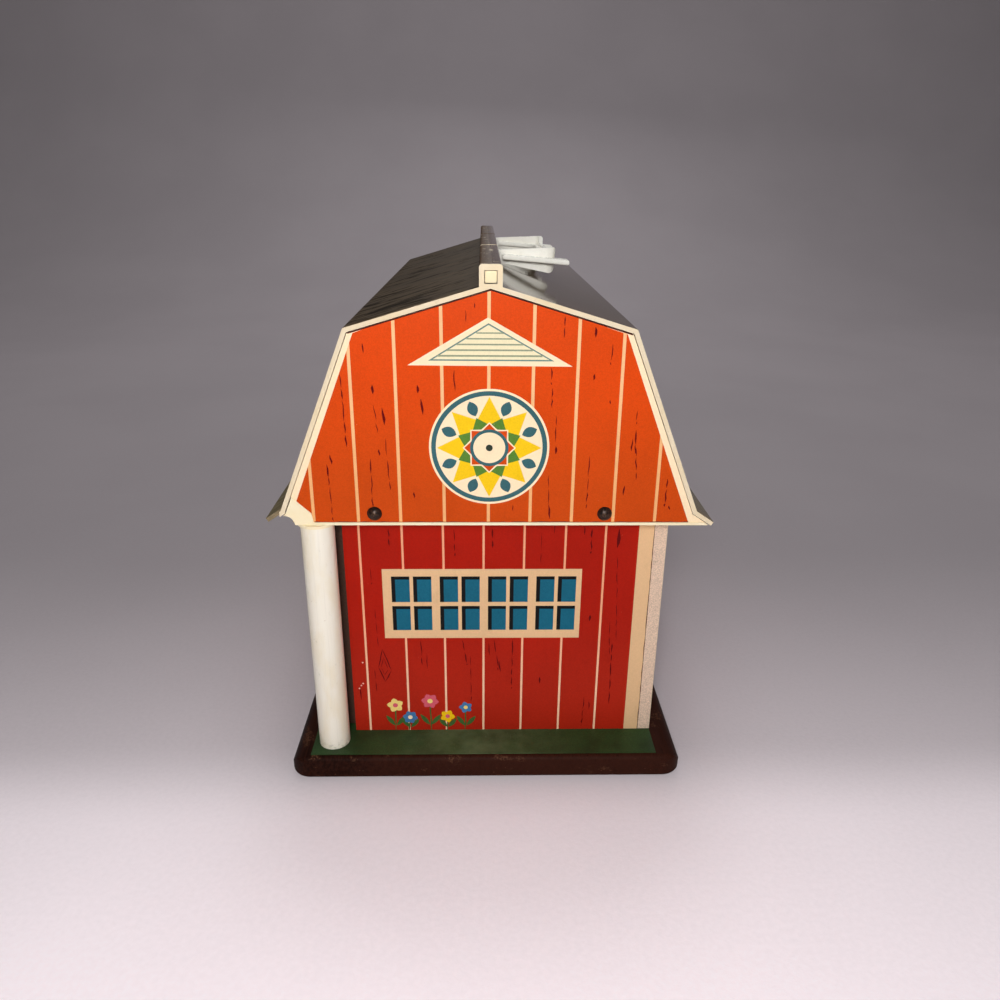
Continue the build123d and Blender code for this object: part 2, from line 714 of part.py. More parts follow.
def door_knob(side):
    """A turned knob with a spigot that is glued into its door."""
    axis_place = (door_face_x, side * (door_middle_gap + knob_edge_margin), (door_bottom + door_top) / 2)
    crown = knob_length / 3
    crown_r = (knob_r**2 + crown**2) / (2 * crown)
    with BuildPart(Plane(axis_place, x_dir=(0, 0, 1), z_dir=(-1, 0, 0))) as knob:
        with Locations((0, 0, knob_length - crown_r)):
            Sphere(crown_r)
        with Locations((0, 0, crown)):
            Cylinder(
                knob_r, 2 * crown, align=(Align.CENTER, Align.CENTER, Align.MIN), mode=Mode.INTERSECT
            )
        with Locations((0, 0, -knob_spigot_length)):
            Cylinder(
                knob_neck_r,
                knob_spigot_length + crown,
                align=(Align.CENTER, Align.CENTER, Align.MIN),
            )
    return knob


near_door = barn_door(-1)
far_door = barn_door(1)
near_door_knob = door_knob(-1)
far_door_knob = door_knob(1)

# Butt hinges, each of a fixed leaf with the outer knuckles and a moving leaf with the middle one
knuckle_height = (hinge_height - 2 * hinge_knuckle_gap) / 3
knuckle_step = knuckle_height + hinge_knuckle_gap
leaf_stop = hinge_barrel_r + hinge_sweep_gap
leaf_middle = hinge_axis_offset - hinge_leaf_thick / 2


def hinge_leaf(frame, plate_length, knuckle_levels, screw_places):
    """A leaf in its own frame: the pin axis along Z, the plate along X just under it in Y."""
    with BuildPart(frame) as plain:
        with Locations(((leaf_stop + plate_length) / 2, -leaf_middle, 0)):
            Box(plate_length - leaf_stop, hinge_leaf_thick, hinge_height)
        for level in knuckle_levels:
            with Locations((leaf_stop / 2, -leaf_middle, level * knuckle_step)):
                Box(leaf_stop, hinge_leaf_thick, knuckle_height)
            with Locations((0, 0, level * knuckle_step)):
                Cylinder(hinge_barrel_r, knuckle_height)
        Cylinder(hinge_pin_r + hinge_pin_gap, 2 * hinge_height, mode=Mode.SUBTRACT)
    with BuildPart() as leaf:
        add(plain.part)
        drill(screw_places, hinge_screw_hole)
    return leaf


def fixed_leaf(centre_z):
    """The leaf on the far wall's outer face, which carries the outer knuckles."""
    frame = Plane((hinge_x, hinge_y, centre_z), x_dir=(1, 0, 0), z_dir=(0, 0, 1))
    return hinge_leaf(frame, fixed_leaf_x - hinge_x, (-1, 1), fixed_screw_places)


def moving_leaf(centre_z):
    """The leaf on the wing's outer face, which carries the middle knuckle."""
    frame = Plane((hinge_x, hinge_y, centre_z), x_dir=(0, -1, 0), z_dir=(0, 0, -1))
    return hinge_leaf(frame, hinge_y - moving_leaf_y, (0,), moving_screw_places)


def hinge_pin(centre_z):
    """A headed pin that drops through the knuckles."""
    with BuildPart() as pin:
        with Locations((hinge_x, hinge_y, centre_z)):
            Cylinder(hinge_pin_r, hinge_height)
        with Locations((hinge_x, hinge_y, centre_z + (hinge_height + hinge_pin_head) / 2)):
            Cylinder(hinge_pin_head_r, hinge_pin_head)
    return pin


lower_hinge_z, upper_hinge_z = hinge_centres_z
lower_fixed_leaf = fixed_leaf(lower_hinge_z)
upper_fixed_leaf = fixed_leaf(upper_hinge_z)
lower_moving_leaf = moving_leaf(lower_hinge_z)
upper_moving_leaf = moving_leaf(upper_hinge_z)
lower_hinge_pin = hinge_pin(lower_hinge_z)
upper_hinge_pin = hinge_pin(upper_hinge_z)

# Fasteners, identical ones together
base_screws = drive(base_screw_places, base_screw)
loft_screws = drive(loft_screw_places, loft_screw)
near_gable_nails = drive(near_nail_places, gable_nail)
far_gable_nails = drive(far_nail_places, gable_nail)
eave_nails = drive(eave_nail_places, eave_nail)
back_wall_brads = drive(brad_places, brad)
fixed_leaf_screws = drive(fixed_screw_places, hinge_screw)
moving_leaf_screws = drive(moving_screw_places, hinge_screw)

pieces = {
    "base_board": base_board,
    "ground_sheet": ground_sheet,
    "near_wall": near_wall,
    "back_wall": back_wall,
    "far_wall": far_wall,
    "near_corner_strip": near_corner_strip,
    "catch_peg": catch_peg,
    "corner_post": corner_post,
    "loft_floor": loft_floor,
    "near_gable_panel": near_gable_panel,
    "far_gable_panel": far_gable_panel,
    "near_sill": near_sill,
    "far_sill": far_sill,
    "roof_shell": roof_shell,
    "near_ridge_plug": near_ridge_plug,
    "far_ridge_plug": far_ridge_plug,
    "handle_rod": handle_rod,
    "handle": handle,
    "front_wing_wall": front_wing_wall,
    "door_frame": door_frame,
    "near_door": near_door,
    "far_door": far_door,
    "near_door_knob": near_door_knob,
    "far_door_knob": far_door_knob,
    "lower_fixed_leaf": lower_fixed_leaf,
    "upper_fixed_leaf": upper_fixed_leaf,
    "lower_moving_leaf": lower_moving_leaf,
    "upper_moving_leaf": upper_moving_leaf,
    "lower_hinge_pin": lower_hinge_pin,
    "upper_hinge_pin": upper_hinge_pin,
    "base_screws": base_screws,
    "loft_screws": loft_screws,
    "near_gable_nails": near_gable_nails,
    "far_gable_nails": far_gable_nails,
    "eave_nails": eave_nails,
    "back_wall_brads": back_wall_brads,
    "fixed_leaf_screws": fixed_leaf_screws,
    "moving_leaf_screws": moving_leaf_screws,
}

os.makedirs("parts", exist_ok=True)
for name, piece in pieces.items():
    piece.part.label = name
    export_step(piece.part, f"parts/{name}.step")
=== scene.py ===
"""Looks of the toy barn: camera, light, printed sheets and materials.

Lengths are in millimetres of the barn's own frame. Those of the floor and the lamps are in metres.
"""

import math
import random

import bpy
from mathutils import Matrix, Vector
from mathutils.geometry import delaunay_2d_cdt


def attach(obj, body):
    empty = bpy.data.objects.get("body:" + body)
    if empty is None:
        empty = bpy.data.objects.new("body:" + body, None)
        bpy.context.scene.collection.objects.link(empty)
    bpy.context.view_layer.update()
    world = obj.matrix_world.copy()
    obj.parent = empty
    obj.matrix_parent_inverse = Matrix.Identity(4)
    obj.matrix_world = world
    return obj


MM = 0.001

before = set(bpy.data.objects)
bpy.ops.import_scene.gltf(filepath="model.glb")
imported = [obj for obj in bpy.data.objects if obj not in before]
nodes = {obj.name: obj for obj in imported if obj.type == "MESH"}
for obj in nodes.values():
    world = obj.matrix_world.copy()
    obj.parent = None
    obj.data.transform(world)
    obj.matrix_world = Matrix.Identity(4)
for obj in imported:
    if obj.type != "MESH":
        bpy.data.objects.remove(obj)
scene = bpy.context.scene
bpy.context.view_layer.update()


def srgb(red, green, blue):
    """Linear colour of display values from 0 to 255."""
    linear = []
    for value in (red, green, blue):
        part = value / 255
        linear.append(part / 12.92 if part <= 0.04045 else ((part + 0.055) / 1.055) ** 2.4)
    return (*linear, 1.0)


def shade(colour, factor):
    """The same colour, darker or lighter."""
    return (*[min(part * factor, 1.0) for part in colour[:3]], 1.0)


GREY = (0.5, 0.5, 0.5, 1.0)

# Sockets of a Mix node of colours, whose names repeat
MIX_AMOUNT = 0
MIX_FIRST = 6
MIX_SECOND = 7
MIX_RESULT = 2


def viewing_ray(tree):
    """1 for a ray of the camera, of a reflection or through glass, 0 for a ray that gathers light."""
    path = tree.nodes.new("ShaderNodeLightPath")
    seen = path.outputs["Is Camera Ray"]
    for name in ("Is Glossy Ray", "Is Transmission Ray"):
        either = tree.nodes.new("ShaderNodeMath")
        either.operation = "MAXIMUM"
        tree.links.new(seen, either.inputs[0])
        tree.links.new(path.outputs[name], either.inputs[1])
        seen = either.outputs[0]
    return seen


class Field:
    """A number or colour that varies over a surface."""

    def __init__(self, graph, socket):
        self.graph = graph
        self.socket = socket

    def __add__(self, other):
        return self.graph.math("ADD", self, other)

    def __sub__(self, other):
        return self.graph.math("SUBTRACT", self, other)

    def __mul__(self, other):
        return self.graph.math("MULTIPLY", self, other)

    def near(self, middle, reach):
        """1 at the middle, falling to 0 at the reach on both sides."""
        distance = self.graph.math("ABSOLUTE", self - middle, 0.0)
        return distance.rise(reach, 0.0)

    def rise(self, low, high):
        """0 at low, 1 at high, smooth between and level beyond."""
        node = self.graph.add("ShaderNodeMapRange", interpolation_type="SMOOTHSTEP")
        self.graph.feed(node.inputs["Value"], self)
        node.inputs["From Min"].default_value = min(low, high)
        node.inputs["From Max"].default_value = max(low, high)
        node.inputs["To Min"].default_value = 0.0 if low < high else 1.0
        node.inputs["To Max"].default_value = 1.0 if low < high else 0.0
        return Field(self.graph, node.outputs[0])


class Graph:
    """The nodes of one material. Places in it are millimetres of the barn."""

    def __init__(self, name):
        self.material = bpy.data.materials.new(name)
        self.material.use_nodes = True
        self.tree = self.material.node_tree
        self.shader = self.tree.nodes["Principled BSDF"]
        self.place = self.add("ShaderNodeTexCoord").outputs["Object"]

    def add(self, kind, **settings):
        node = self.tree.nodes.new(kind)
        for name, value in settings.items():
            setattr(node, name, value)
        return node

    def feed(self, socket, value):
        if isinstance(value, Field):
            self.tree.links.new(value.socket, socket)
        else:
            socket.default_value = value

    def math(self, operation, first, second):
        node = self.add("ShaderNodeMath", operation=operation)
        self.feed(node.inputs[0], first)
        self.feed(node.inputs[1], second)
        return Field(self, node.outputs[0])

    def along(self, letter):
        """The place along one axis."""
        node = self.add("ShaderNodeSeparateXYZ")
        self.tree.links.new(self.place, node.inputs[0])
        return Field(self, node.outputs[letter]) * (1 / MM)

    def facing(self, letter):
        """How far the surface looks along one axis, from -1 to 1."""
        coordinates = self.add("ShaderNodeTexCoord")
        node = self.add("ShaderNodeSeparateXYZ")
        self.tree.links.new(coordinates.outputs["Normal"], node.inputs[0])
        return Field(self, node.outputs[letter])

    def noise(self, size, detail=2.0, roughness=0.5, seed=0.0):
        """Noise around 0.5 whose spots have the size given, one number or one for each axis."""
        sizes = size if isinstance(size, tuple) else (size, size, size)
        scaled = self.add("ShaderNodeVectorMath", operation="MULTIPLY_ADD")
        self.tree.links.new(self.place, scaled.inputs[0])
        scaled.inputs[1].default_value = [1 / MM / one for one in sizes]
        scaled.inputs[2].default_value = (seed, seed, seed)
        node = self.add("ShaderNodeTexNoise")
        self.tree.links.new(scaled.outputs[0], node.inputs["Vector"])
        node.inputs["Scale"].default_value = 1.0
        node.inputs["Detail"].default_value = detail
        node.inputs["Roughness"].default_value = roughness
        return Field(self, node.outputs[0])

    def mix(self, amount, first, second):
        """The first colour where the amount is 0, the second where it is 1."""
        node = self.add("ShaderNodeMix", data_type="RGBA")
        self.feed(node.inputs[MIX_AMOUNT], amount)
        self.feed(node.inputs[MIX_FIRST], first)
        self.feed(node.inputs[MIX_SECOND], second)
        return Field(self, node.outputs[MIX_RESULT])

    def product(self, colour, tint):
        """The colour times twice the tint, so that a middle grey keeps it."""
        node = self.add("ShaderNodeMix", data_type="RGBA", blend_type="MULTIPLY")
        node.inputs[MIX_AMOUNT].default_value = 1.0
        self.feed(node.inputs[MIX_FIRST], colour)
        self.feed(node.inputs[MIX_SECOND], tint)
        once = Field(self, node.outputs[MIX_RESULT])
        double = self.add("ShaderNodeMix", data_type="RGBA", blend_type="ADD")
        double.inputs[MIX_AMOUNT].default_value = 1.0
        self.feed(double.inputs[MIX_FIRST], once)
        self.feed(double.inputs[MIX_SECOND], once)
        return Field(self, double.outputs[MIX_RESULT])

    def finish(self, colour, roughness, height, depth, **constants):
        """Feeds the shader. The height, from 0 to 1, stands for a relief of that depth."""
        self.feed(self.shader.inputs["Base Color"], colour)
        self.feed(self.shader.inputs["Roughness"], roughness)
        for name, value in constants.items():
            self.shader.inputs[name.replace("_", " ")].default_value = value
        bump = self.add("ShaderNodeBump")
        bump.inputs["Strength"].default_value = 1.0
        bump.inputs["Distance"].default_value = depth * MM
        self.feed(bump.inputs["Height"], height)
        self.tree.links.new(bump.outputs[0], self.shader.inputs["Normal"])
        return self.material


# Materials


def printed(name, colour, mottle=0.10, paper=srgb(240, 205, 170), foot=None):
    """Ink on varnished paper: fine mottle, slow changes of tone, rubbed flecks and an uneven varnish.

    The foot is the colour of the ink at the foot of its sheet, a painted change of light and shade with
    height, and the heights of that change.
    """
    g = Graph(name)
    speckle = g.noise(0.55, 3.0, 0.6)
    cloud = g.noise(26.0, 3.0, 0.5, 3.0)
    # Painted light and shade: the ink turns to its foot colour towards the foot of the sheet
    aged = g.mix(g.along("Z").rise(foot[1], foot[2]), colour, foot[0]) if foot else colour
    spread = (speckle * 0.7 + cloud * 0.3).rise(0.3, 0.7)
    tone = g.product(aged, g.mix(spread, shade(GREY, 1 - mottle), shade(GREY, 1 + mottle)))
    dirt = g.noise((7.0, 7.0, 16.0), 4.0, 0.6, 8.0).rise(0.56, 0.78)
    dirty = g.mix(dirt * 0.25, tone, shade(colour, 0.6))
    fleck = g.noise(1.1, 5.0, 0.65, 21.0).rise(0.735, 0.76)
    rubbed = g.mix(fleck * 0.55, dirty, paper)
    sheen = g.noise(9.0, 4.0, 0.6, 5.0)
    relief = g.noise(1.6, 3.0, 0.6, 2.0) * 0.7 + speckle * 0.3
    return g.finish(rubbed, sheen * 0.22 + 0.34, relief, 0.035, Specular_IOR_Level=0.10)


def board(name, colour, grain, depth, stain):
    """Pressed fibre board: matted fibres, darker spots and a rough face."""
    g = Graph(name)
    fibre = g.noise(grain, 5.0, 0.65)
    tone = g.mix(fibre.rise(0.32, 0.68), shade(colour, 0.74), shade(colour, 1.16))
    spots = g.noise(4.5, 4.0, 0.6, 9.0).rise(0.57, 0.70)
    stained = g.mix(spots * stain, tone, shade(colour, 0.42))
    chips = g.noise(1.3, 4.0, 0.6, 15.0).rise(0.66, 0.70)
    pitted = g.mix(chips * stain, stained, shade(colour, 0.30))
    relief = fibre * 0.6 + g.noise(0.5, 2.0, 0.5, 6.0) * 0.4
    return g.finish(pitted, fibre * 0.2 + 0.66, relief, depth, Specular_IOR_Level=0.3)


def moulded(name, colour, least_rough, aged):
    """Moulded plastic: faint flow clouds, yellowed patches, dirt in the hollows and hair scratches."""
    g = Graph(name)
    cloud = g.noise(18.0, 3.0, 0.55)
    yellow = (colour[0] * 0.98, colour[1] * 0.90, colour[2] * 0.72, 1.0)
    tone = g.mix(cloud.rise(0.35, 0.72) * aged, colour, yellow)
    grime = g.noise((3.0, 5.0, 3.0), 5.0, 0.65, 7.0).rise(0.60, 0.74)
    soiled = g.mix(grime * aged * 0.7, tone, shade(yellow, 0.55))
    scratch = g.noise((0.35, 14.0, 0.5), 2.0, 0.5, 12.0).rise(0.66, 0.70)
    scratched = g.mix(scratch * 0.12, soiled, shade(colour, 0.7))
    relief = g.noise(2.2, 3.0, 0.5, 4.0) * 0.8 + scratch * 0.2
    rough = g.noise(6.0, 4.0, 0.6, 2.0) * 0.16 + scratch * 0.15 + least_rough
    return g.finish(scratched, rough, relief, 0.03, Specular_IOR_Level=0.45)


RIDGE_TOP = 250.0
ROOF_NEAR_END = -162.5
EAVE_BEND = 145.0


def roof_paint():
    """Brown gloss on the roof, paler on the eave flares and along the near edge, with chips on the ridge
    box.

    Black streaks run down the left slope, which is dull.
    """
    g = Graph("roof_dark_gloss")
    x, y, z = g.along("X"), g.along("Y"), g.along("Z")
    left = x.rise(4.0, -4.0)
    top = z.rise(RIDGE_TOP - 1.0, RIDGE_TOP - 0.4)
    streaky = left * z.rise(RIDGE_TOP - 0.4, RIDGE_TOP - 1.0)
    brown = g.mix(top, g.mix(left, srgb(76, 60, 40), srgb(78, 64, 44)), srgb(88, 64, 40))
    cloud = g.noise((60.0, 30.0, 60.0), 3.0, 0.5)
    tone = g.product(brown, g.mix(cloud.rise(0.35, 0.65), shade(GREY, 0.82), shade(GREY, 1.14)))
    fine = g.noise((15.0, 2.0, 15.0), 4.0, 0.7, 2.0)
    veined = g.mix(fine.rise(0.49, 0.66) * (streaky * 0.60 + 0.08), tone, srgb(26, 20, 15))
    broad = g.noise((24.0, 6.0, 24.0), 4.0, 0.65, 11.0)
    low = x.rise(-14.0, -46.0) * 0.05 + y.rise(-60.0, -130.0) * 0.05
    streak = (broad + low).rise(0.57, 0.68) * streaky * 0.85
    streaked = g.mix(streak, veined, srgb(14, 11, 9))
    # Paler brown on the eave flares and a paler, warmer brown along the near end of the slopes
    near = y.rise(ROOF_NEAR_END + 9.5, ROOF_NEAR_END) * z.rise(240.0, 238.0)
    flare = z.rise(EAVE_BEND + 1.5, EAVE_BEND - 0.5)
    eave_paler = g.mix(flare * 0.65, streaked, srgb(124, 113, 86))
    near_edge_paler = g.mix(near * 0.55, eave_paler, srgb(122, 102, 74))
    sheen = g.noise((18.0, 6.0, 18.0), 3.0, 0.6, 6.0)
    wear = g.noise(0.9, 3.0, 0.6, 4.0)
    chip = (y + wear * 8.0).near(-84.0, 11.0) * (x + wear * 2.0).near(1.8, 1.5) * top
    edge = z.near(RIDGE_TOP - 0.1, 0.5) * g.noise((3.0, 6.0, 3.0), 4.0, 0.6, 18.0).rise(0.60, 0.66)
    rubbed = g.math("MAXIMUM", chip, edge * 0.5)
    bared = g.mix(rubbed, near_edge_paler, srgb(232, 218, 190))
    scratch = g.noise((40.0, 0.3, 40.0), 1.0, 0.5, 31.0).rise(0.69, 0.72)
    worn = g.mix(scratch * 0.25, bared, srgb(130, 118, 102))
    relief = fine * 0.5 + streak * 0.3 + g.noise(3.0, 3.0, 0.5, 8.0) * 0.2
    rough = sheen * 0.05 + fine * 0.03 + left * 0.48 + streak * 0.3 + 0.03
    return g.finish(worn, rough, relief, 0.02, Specular_IOR_Level=0.05)


def stained_wood(name, colour, scuff_colour):
    """Stained and varnished board with its grain along the barn, pores and scuffed edges."""
    g = Graph(name)
    z = g.along("Z")
    warp = g.noise((22.0, 60.0, 22.0), 2.0, 0.5)
    grain = g.noise((1.7, 55.0, 2.4), 5.0, 0.7, 3.0)
    # Much darker towards the left end of the base
    stain = g.mix(g.along("X").rise(-20.0, -84.0) * 0.8, colour, shade(colour, 0.2))
    tone = g.mix((grain * 0.75 + warp * 0.25).rise(0.38, 0.62) * 0.6, stain, shade(colour, 1.45))
    pores = g.noise((0.5, 9.0, 0.5), 2.0, 0.5, 5.0).rise(0.60, 0.68)
    dark = g.mix(pores * 0.6, tone, shade(colour, 0.25))
    blotch = g.noise((14.0, 20.0, 5.0), 5.0, 0.7, 14.0)
    rims = g.math("MAXIMUM", z.near(10.8, 2.2), z.near(0.4, 2.2)) * 0.06
    scuff = (blotch + rims).rise(0.585, 0.66) * g.noise(1.1, 4.0, 0.6, 17.0).rise(0.42, 0.58)
    scuffed = g.mix(scuff * 0.75, dark, scuff_colour)
    flecks = g.noise((1.5, 1.5, 0.8), 4.0, 0.6, 33.0).rise(0.70, 0.73) * z.rise(9.0, 2.0)
    flecked = g.mix(flecks * 0.8, scuffed, shade(scuff_colour, 2.6))
    rough = scuff * 0.25 + grain * 0.15 + 0.42
    return g.finish(flecked, rough, grain * 0.8 + pores * -0.4, 0.10, Specular_IOR_Level=0.04)


def raw_wood(name, colour):
    """Plain wood, its grain along the barn."""
    g = Graph(name)
    grain = g.noise((2.0, 60.0, 2.6), 5.0, 0.7, 1.0)
    tone = g.mix(grain.rise(0.36, 0.64), shade(colour, 0.72), shade(colour, 1.18))
    pores = g.noise((0.5, 8.0, 0.5), 2.0, 0.5, 5.0).rise(0.60, 0.68)
    pored = g.mix(pores * 0.5, tone, shade(colour, 0.45))
    cloud = g.noise(30.0, 3.0, 0.6, 9.0).rise(0.5, 0.75)
    aged = g.mix(cloud * 0.35, pored, shade(colour, 0.6))
    return g.finish(aged, grain * 0.2 + 0.55, grain * 0.7 + pores * -0.3, 0.12, Specular_IOR_Level=0.3)


def enamel(name, colour):
    """Brushed enamel on turned wood: brush marks along it, small dents, handling dirt and a few chips."""
    g = Graph(name)
    brush = g.noise((0.9, 0.9, 45.0), 3.0, 0.55)
    cloud = g.noise((9.0, 9.0, 26.0), 4.0, 0.6, 4.0)
    yellow = (colour[0] * 0.95, colour[1] * 0.89, colour[2] * 0.76, 1.0)
    tone = g.mix(cloud.rise(0.38, 0.68) * 0.7, colour, yellow)
    lined = g.mix(brush.rise(0.55, 0.70) * 0.16, tone, shade(colour, 0.72))
    grime = g.noise((2.4, 2.4, 5.0), 5.0, 0.7, 12.0).rise(0.62, 0.74)
    soiled = g.mix(grime * 0.35, lined, shade(yellow, 0.5))
    foot = g.along("Z").rise(19.0, 12.4) * g.noise(2.0, 4.0, 0.6, 6.0).rise(0.42, 0.62)
    footed = g.mix(foot * 0.35, soiled, srgb(120, 104, 80))
    chip = g.noise(1.6, 4.0, 0.6, 41.0).rise(0.72, 0.735)
    chipped = g.mix(chip, footed, srgb(170, 130, 85))
    relief = brush * 0.35 + g.noise(3.5, 3.0, 0.5, 2.0) * 0.65
    return g.finish(chipped, cloud * 0.16 + 0.26, relief, 0.06, Specular_IOR_Level=0.45)


def ground_paint():
    """Green print on the base, darker in broad patches, with painted sheen in the middle: lighter
    grey-green patches and fine streaks along the barn.
    """
    g = Graph("ground_green")
    green = srgb(46, 72, 36)
    speckle = g.noise(0.7, 4.0, 0.65)
    tone = g.mix(speckle.rise(0.35, 0.65), shade(green, 0.72), shade(green, 1.12))
    cloud = g.noise(16.0, 4.0, 0.55, 3.0)
    shaded = g.mix(cloud.rise(0.40, 0.66) * 0.5, tone, srgb(28, 40, 20))
    # Painted sheen: lighter grey-green patches in the middle of the sheet
    middle = g.along("X").near(-8.0, 62.0)
    rub = g.noise((9.0, 9.0, 9.0), 5.0, 0.6, 8.0).rise(0.25, 0.75)
    sheen_painted = g.mix((rub * 0.6 + 0.2) * middle, shaded, srgb(98, 114, 78))
    # Painted sheen: fine lighter streaks along the barn in the middle
    fine = g.noise((0.8, 2.4, 0.8), 3.0, 0.6, 19.0).rise(0.60, 0.72)
    scuffed = g.mix(fine * middle * 0.30, sheen_painted, srgb(118, 122, 98))
    rough = speckle * 0.2 + rub * 0.15 + 0.38
    return g.finish(scuffed, rough, rub * 0.3 + speckle * 0.7, 0.06, Specular_IOR_Level=0.25)


def metal(name, colour, tarnish, least_rough):
    """Rolled or drawn metal with fine lines and tarnished spots."""
    g = Graph(name)
    lines = g.noise((0.25, 0.25, 9.0), 3.0, 0.6)
    tone = g.mix(lines.rise(0.35, 0.65), shade(colour, 0.85), shade(colour, 1.12))
    spots = g.noise(7.0, 3.0, 0.5, 9.0)
    dull = g.mix(spots.rise(0.35, 0.75) * 0.45, tone, tarnish)
    rough = spots.rise(0.4, 0.65) * 0.25 + lines * 0.1 + least_rough
    return g.finish(dull, rough, lines * 0.6 + spots * 0.4, 0.03, Metallic=0.85)


def nail_metal():
    """Browned domed nails: nearly black, with a soft highlight and a lighter bronze crown that is partly
    wear and partly a painted highlight.
    """
    g = Graph("browned_nail")
    pits = g.noise(0.9, 4.0, 0.65)
    tone = g.mix(pits.rise(0.36, 0.66), srgb(22, 13, 9), srgb(62, 40, 27))
    # Partly wear, partly a painted highlight: lighter where the surface faces along the barn
    crown_wear_and_highlight = g.math("ABSOLUTE", g.facing("Y"), 0.0).rise(0.90, 1.0) * pits.rise(0.42, 0.6)
    worn = g.mix(crown_wear_and_highlight * 0.45, tone, srgb(102, 74, 48))
    return g.finish(worn, pits * 0.25 + 0.24, pits, 0.08, Metallic=0.55)


# Strength of the painted light that makes the front of the floor glow
FRONT_PAINTED_GLOW = 0.20


def studio_floor():
    """Pale floor with painted shade that turns it grey towards the backdrop. Its front glows with painted
    light, so that it looks paler than it is lit.
    """
    g = Graph("studio_floor")
    pale, grey = srgb(252, 240, 245), srgb(173, 165, 169)
    weave = g.noise(2.4, 4.0, 0.6)
    cloud = g.noise(240.0, 3.0, 0.5, 5.0)
    # Painted shade: the floor goes from pale at the front to grey at the back
    depth = g.along("Y").rise(-460.0, 120.0)
    ground = g.mix(depth, pale, grey)
    shadow = (weave * 0.4 + cloud * 0.6).rise(0.65, 0.35)
    tone = g.mix(shadow * 0.10, ground, srgb(120, 114, 118))
    # Painted light: the front of the floor glows where the camera and reflections see it
    front = g.along("Y").rise(-140.0, -205.0)
    seen = Field(g, viewing_ray(g.tree))
    g.feed(g.shader.inputs["Emission Color"], pale)
    g.feed(g.shader.inputs["Emission Strength"], front * seen * FRONT_PAINTED_GLOW)
    return g.finish(tone, weave * 0.1 + 0.8, weave, 0.15, Specular_IOR_Level=0.2)


ROOF_SKIN = roof_paint()
ROOF_EDGE = moulded("roof_cream_edge", srgb(228, 212, 182), 0.30, 0.5)
EAVE_END = board("worn_eave_end", srgb(134, 118, 90), 0.9, 0.20, 0.5)
CREAM_PLASTIC = moulded("cream_plastic", srgb(246, 233, 199), 0.28, 0.6)
WHITE_PLASTIC = moulded("white_plastic", srgb(255, 252, 242), 0.20, 0.15)
WHITE_ENAMEL = enamel("white_enamel", srgb(244, 238, 222))
BASE_WOOD = stained_wood("base_stained_wood", srgb(50, 24, 16), srgb(98, 66, 48))
RAW_WOOD = raw_wood("raw_wood", srgb(196, 160, 116))
HARDBOARD = board("hardboard", srgb(150, 108, 70), 1.4, 0.10, 0.45)
PALE_END = board("pale_board_end", srgb(224, 196, 172), 0.55, 0.25, 0.30)
# Brown board end, darkened with painted shade: the wing's end beside the post and the top rims of the gable
# panels
SHADED_DARK_END = board("shaded_brown_board_end", srgb(70, 46, 34), 1.0, 0.35, 0.5)
GREEN_PRINT = ground_paint()
BRASSED = metal("brassed_steel", srgb(206, 170, 98), srgb(142, 108, 60), 0.26)
STEEL = metal("plain_steel", srgb(190, 190, 188), srgb(112, 106, 98), 0.26)
NAIL = nail_metal()
PAPER = board("paper_edge", srgb(214, 190, 158), 0.8, 0.03, 0.3)

# Heights from which and at which the prints take their foot colours: painted shade that darkens the orange
# and its lines low on the gable, painted light that lightens the red and its lines low on the walls
GABLE_SHADE_HEIGHTS = (212.0, 146.0)
WALL_LIGHT_HEIGHTS = (96.0, 24.0)

INKS = {
    "orange": printed("orange_ink", srgb(216, 70, 6), foot=(srgb(196, 70, 8), *GABLE_SHADE_HEIGHTS)),
    "red": printed("red_ink", srgb(164, 23, 4), 0.12, foot=(srgb(172, 37, 18), *WALL_LIGHT_HEIGHTS)),
    "cream": printed("cream_ink", srgb(250, 226, 188), 0.04),
    "orange_line": printed(
        "line_on_orange", srgb(244, 190, 136), 0.05, foot=(srgb(236, 174, 114), *GABLE_SHADE_HEIGHTS)
    ),
    "red_line": printed("line_on_red", srgb(238, 164, 124), 0.06, foot=(srgb(248, 200, 162), *WALL_LIGHT_HEIGHTS)),
    "dark_grain": printed("dark_grain_ink", srgb(102, 2, 4), 0.30, srgb(226, 80, 26)),
    "red_grain": printed("red_grain_ink", srgb(94, 2, 2), 0.30, srgb(160, 30, 18)),
    "beige": printed("beige_ink", srgb(226, 186, 141), 0.05),
    "blue": printed("pane_blue_ink", srgb(22, 96, 120), 0.12),
    "black": printed("black_ink", srgb(14, 15, 15), 0.25),
    "slat": printed("slat_ink", srgb(238, 226, 188), 0.05),
    "slat_line": printed("slat_line_ink", srgb(150, 158, 128), 0.15),
    "teal_line": printed("teal_line_ink", srgb(104, 136, 128), 0.12),
    "teal": printed("teal_ink", srgb(56, 98, 104), 0.12),
    "yellow": printed("yellow_ink", srgb(242, 196, 22), 0.07),
    "green": printed("green_ink", srgb(86, 128, 50), 0.12),
    "dot": printed("dot_ink", srgb(48, 58, 48), 0.15),
    "pink": printed("pink_ink", srgb(212, 92, 108), 0.12),
    "pale_yellow": printed("pale_yellow_ink", srgb(240, 212, 124), 0.08),
    "flower_blue": printed("flower_blue_ink", srgb(70, 120, 168), 0.12),
    "leaf": printed("leaf_ink", srgb(66, 98, 48), 0.18),
    # Dark lines at seams, partly painted shadow of the gaps between parts
    "seam": printed("seam_ink", srgb(96, 60, 42), 0.35),
    "edge_shade": printed("edge_shade_ink", srgb(92, 26, 14), 0.30, srgb(170, 60, 24)),
    "speck": printed("speck_ink", srgb(236, 196, 176), 0.10),
}


# Shapes of the prints, as loops of points on the sheet


def block(left, low, right, high):
    return [(left, low), (right, low), (right, high), (left, high)]


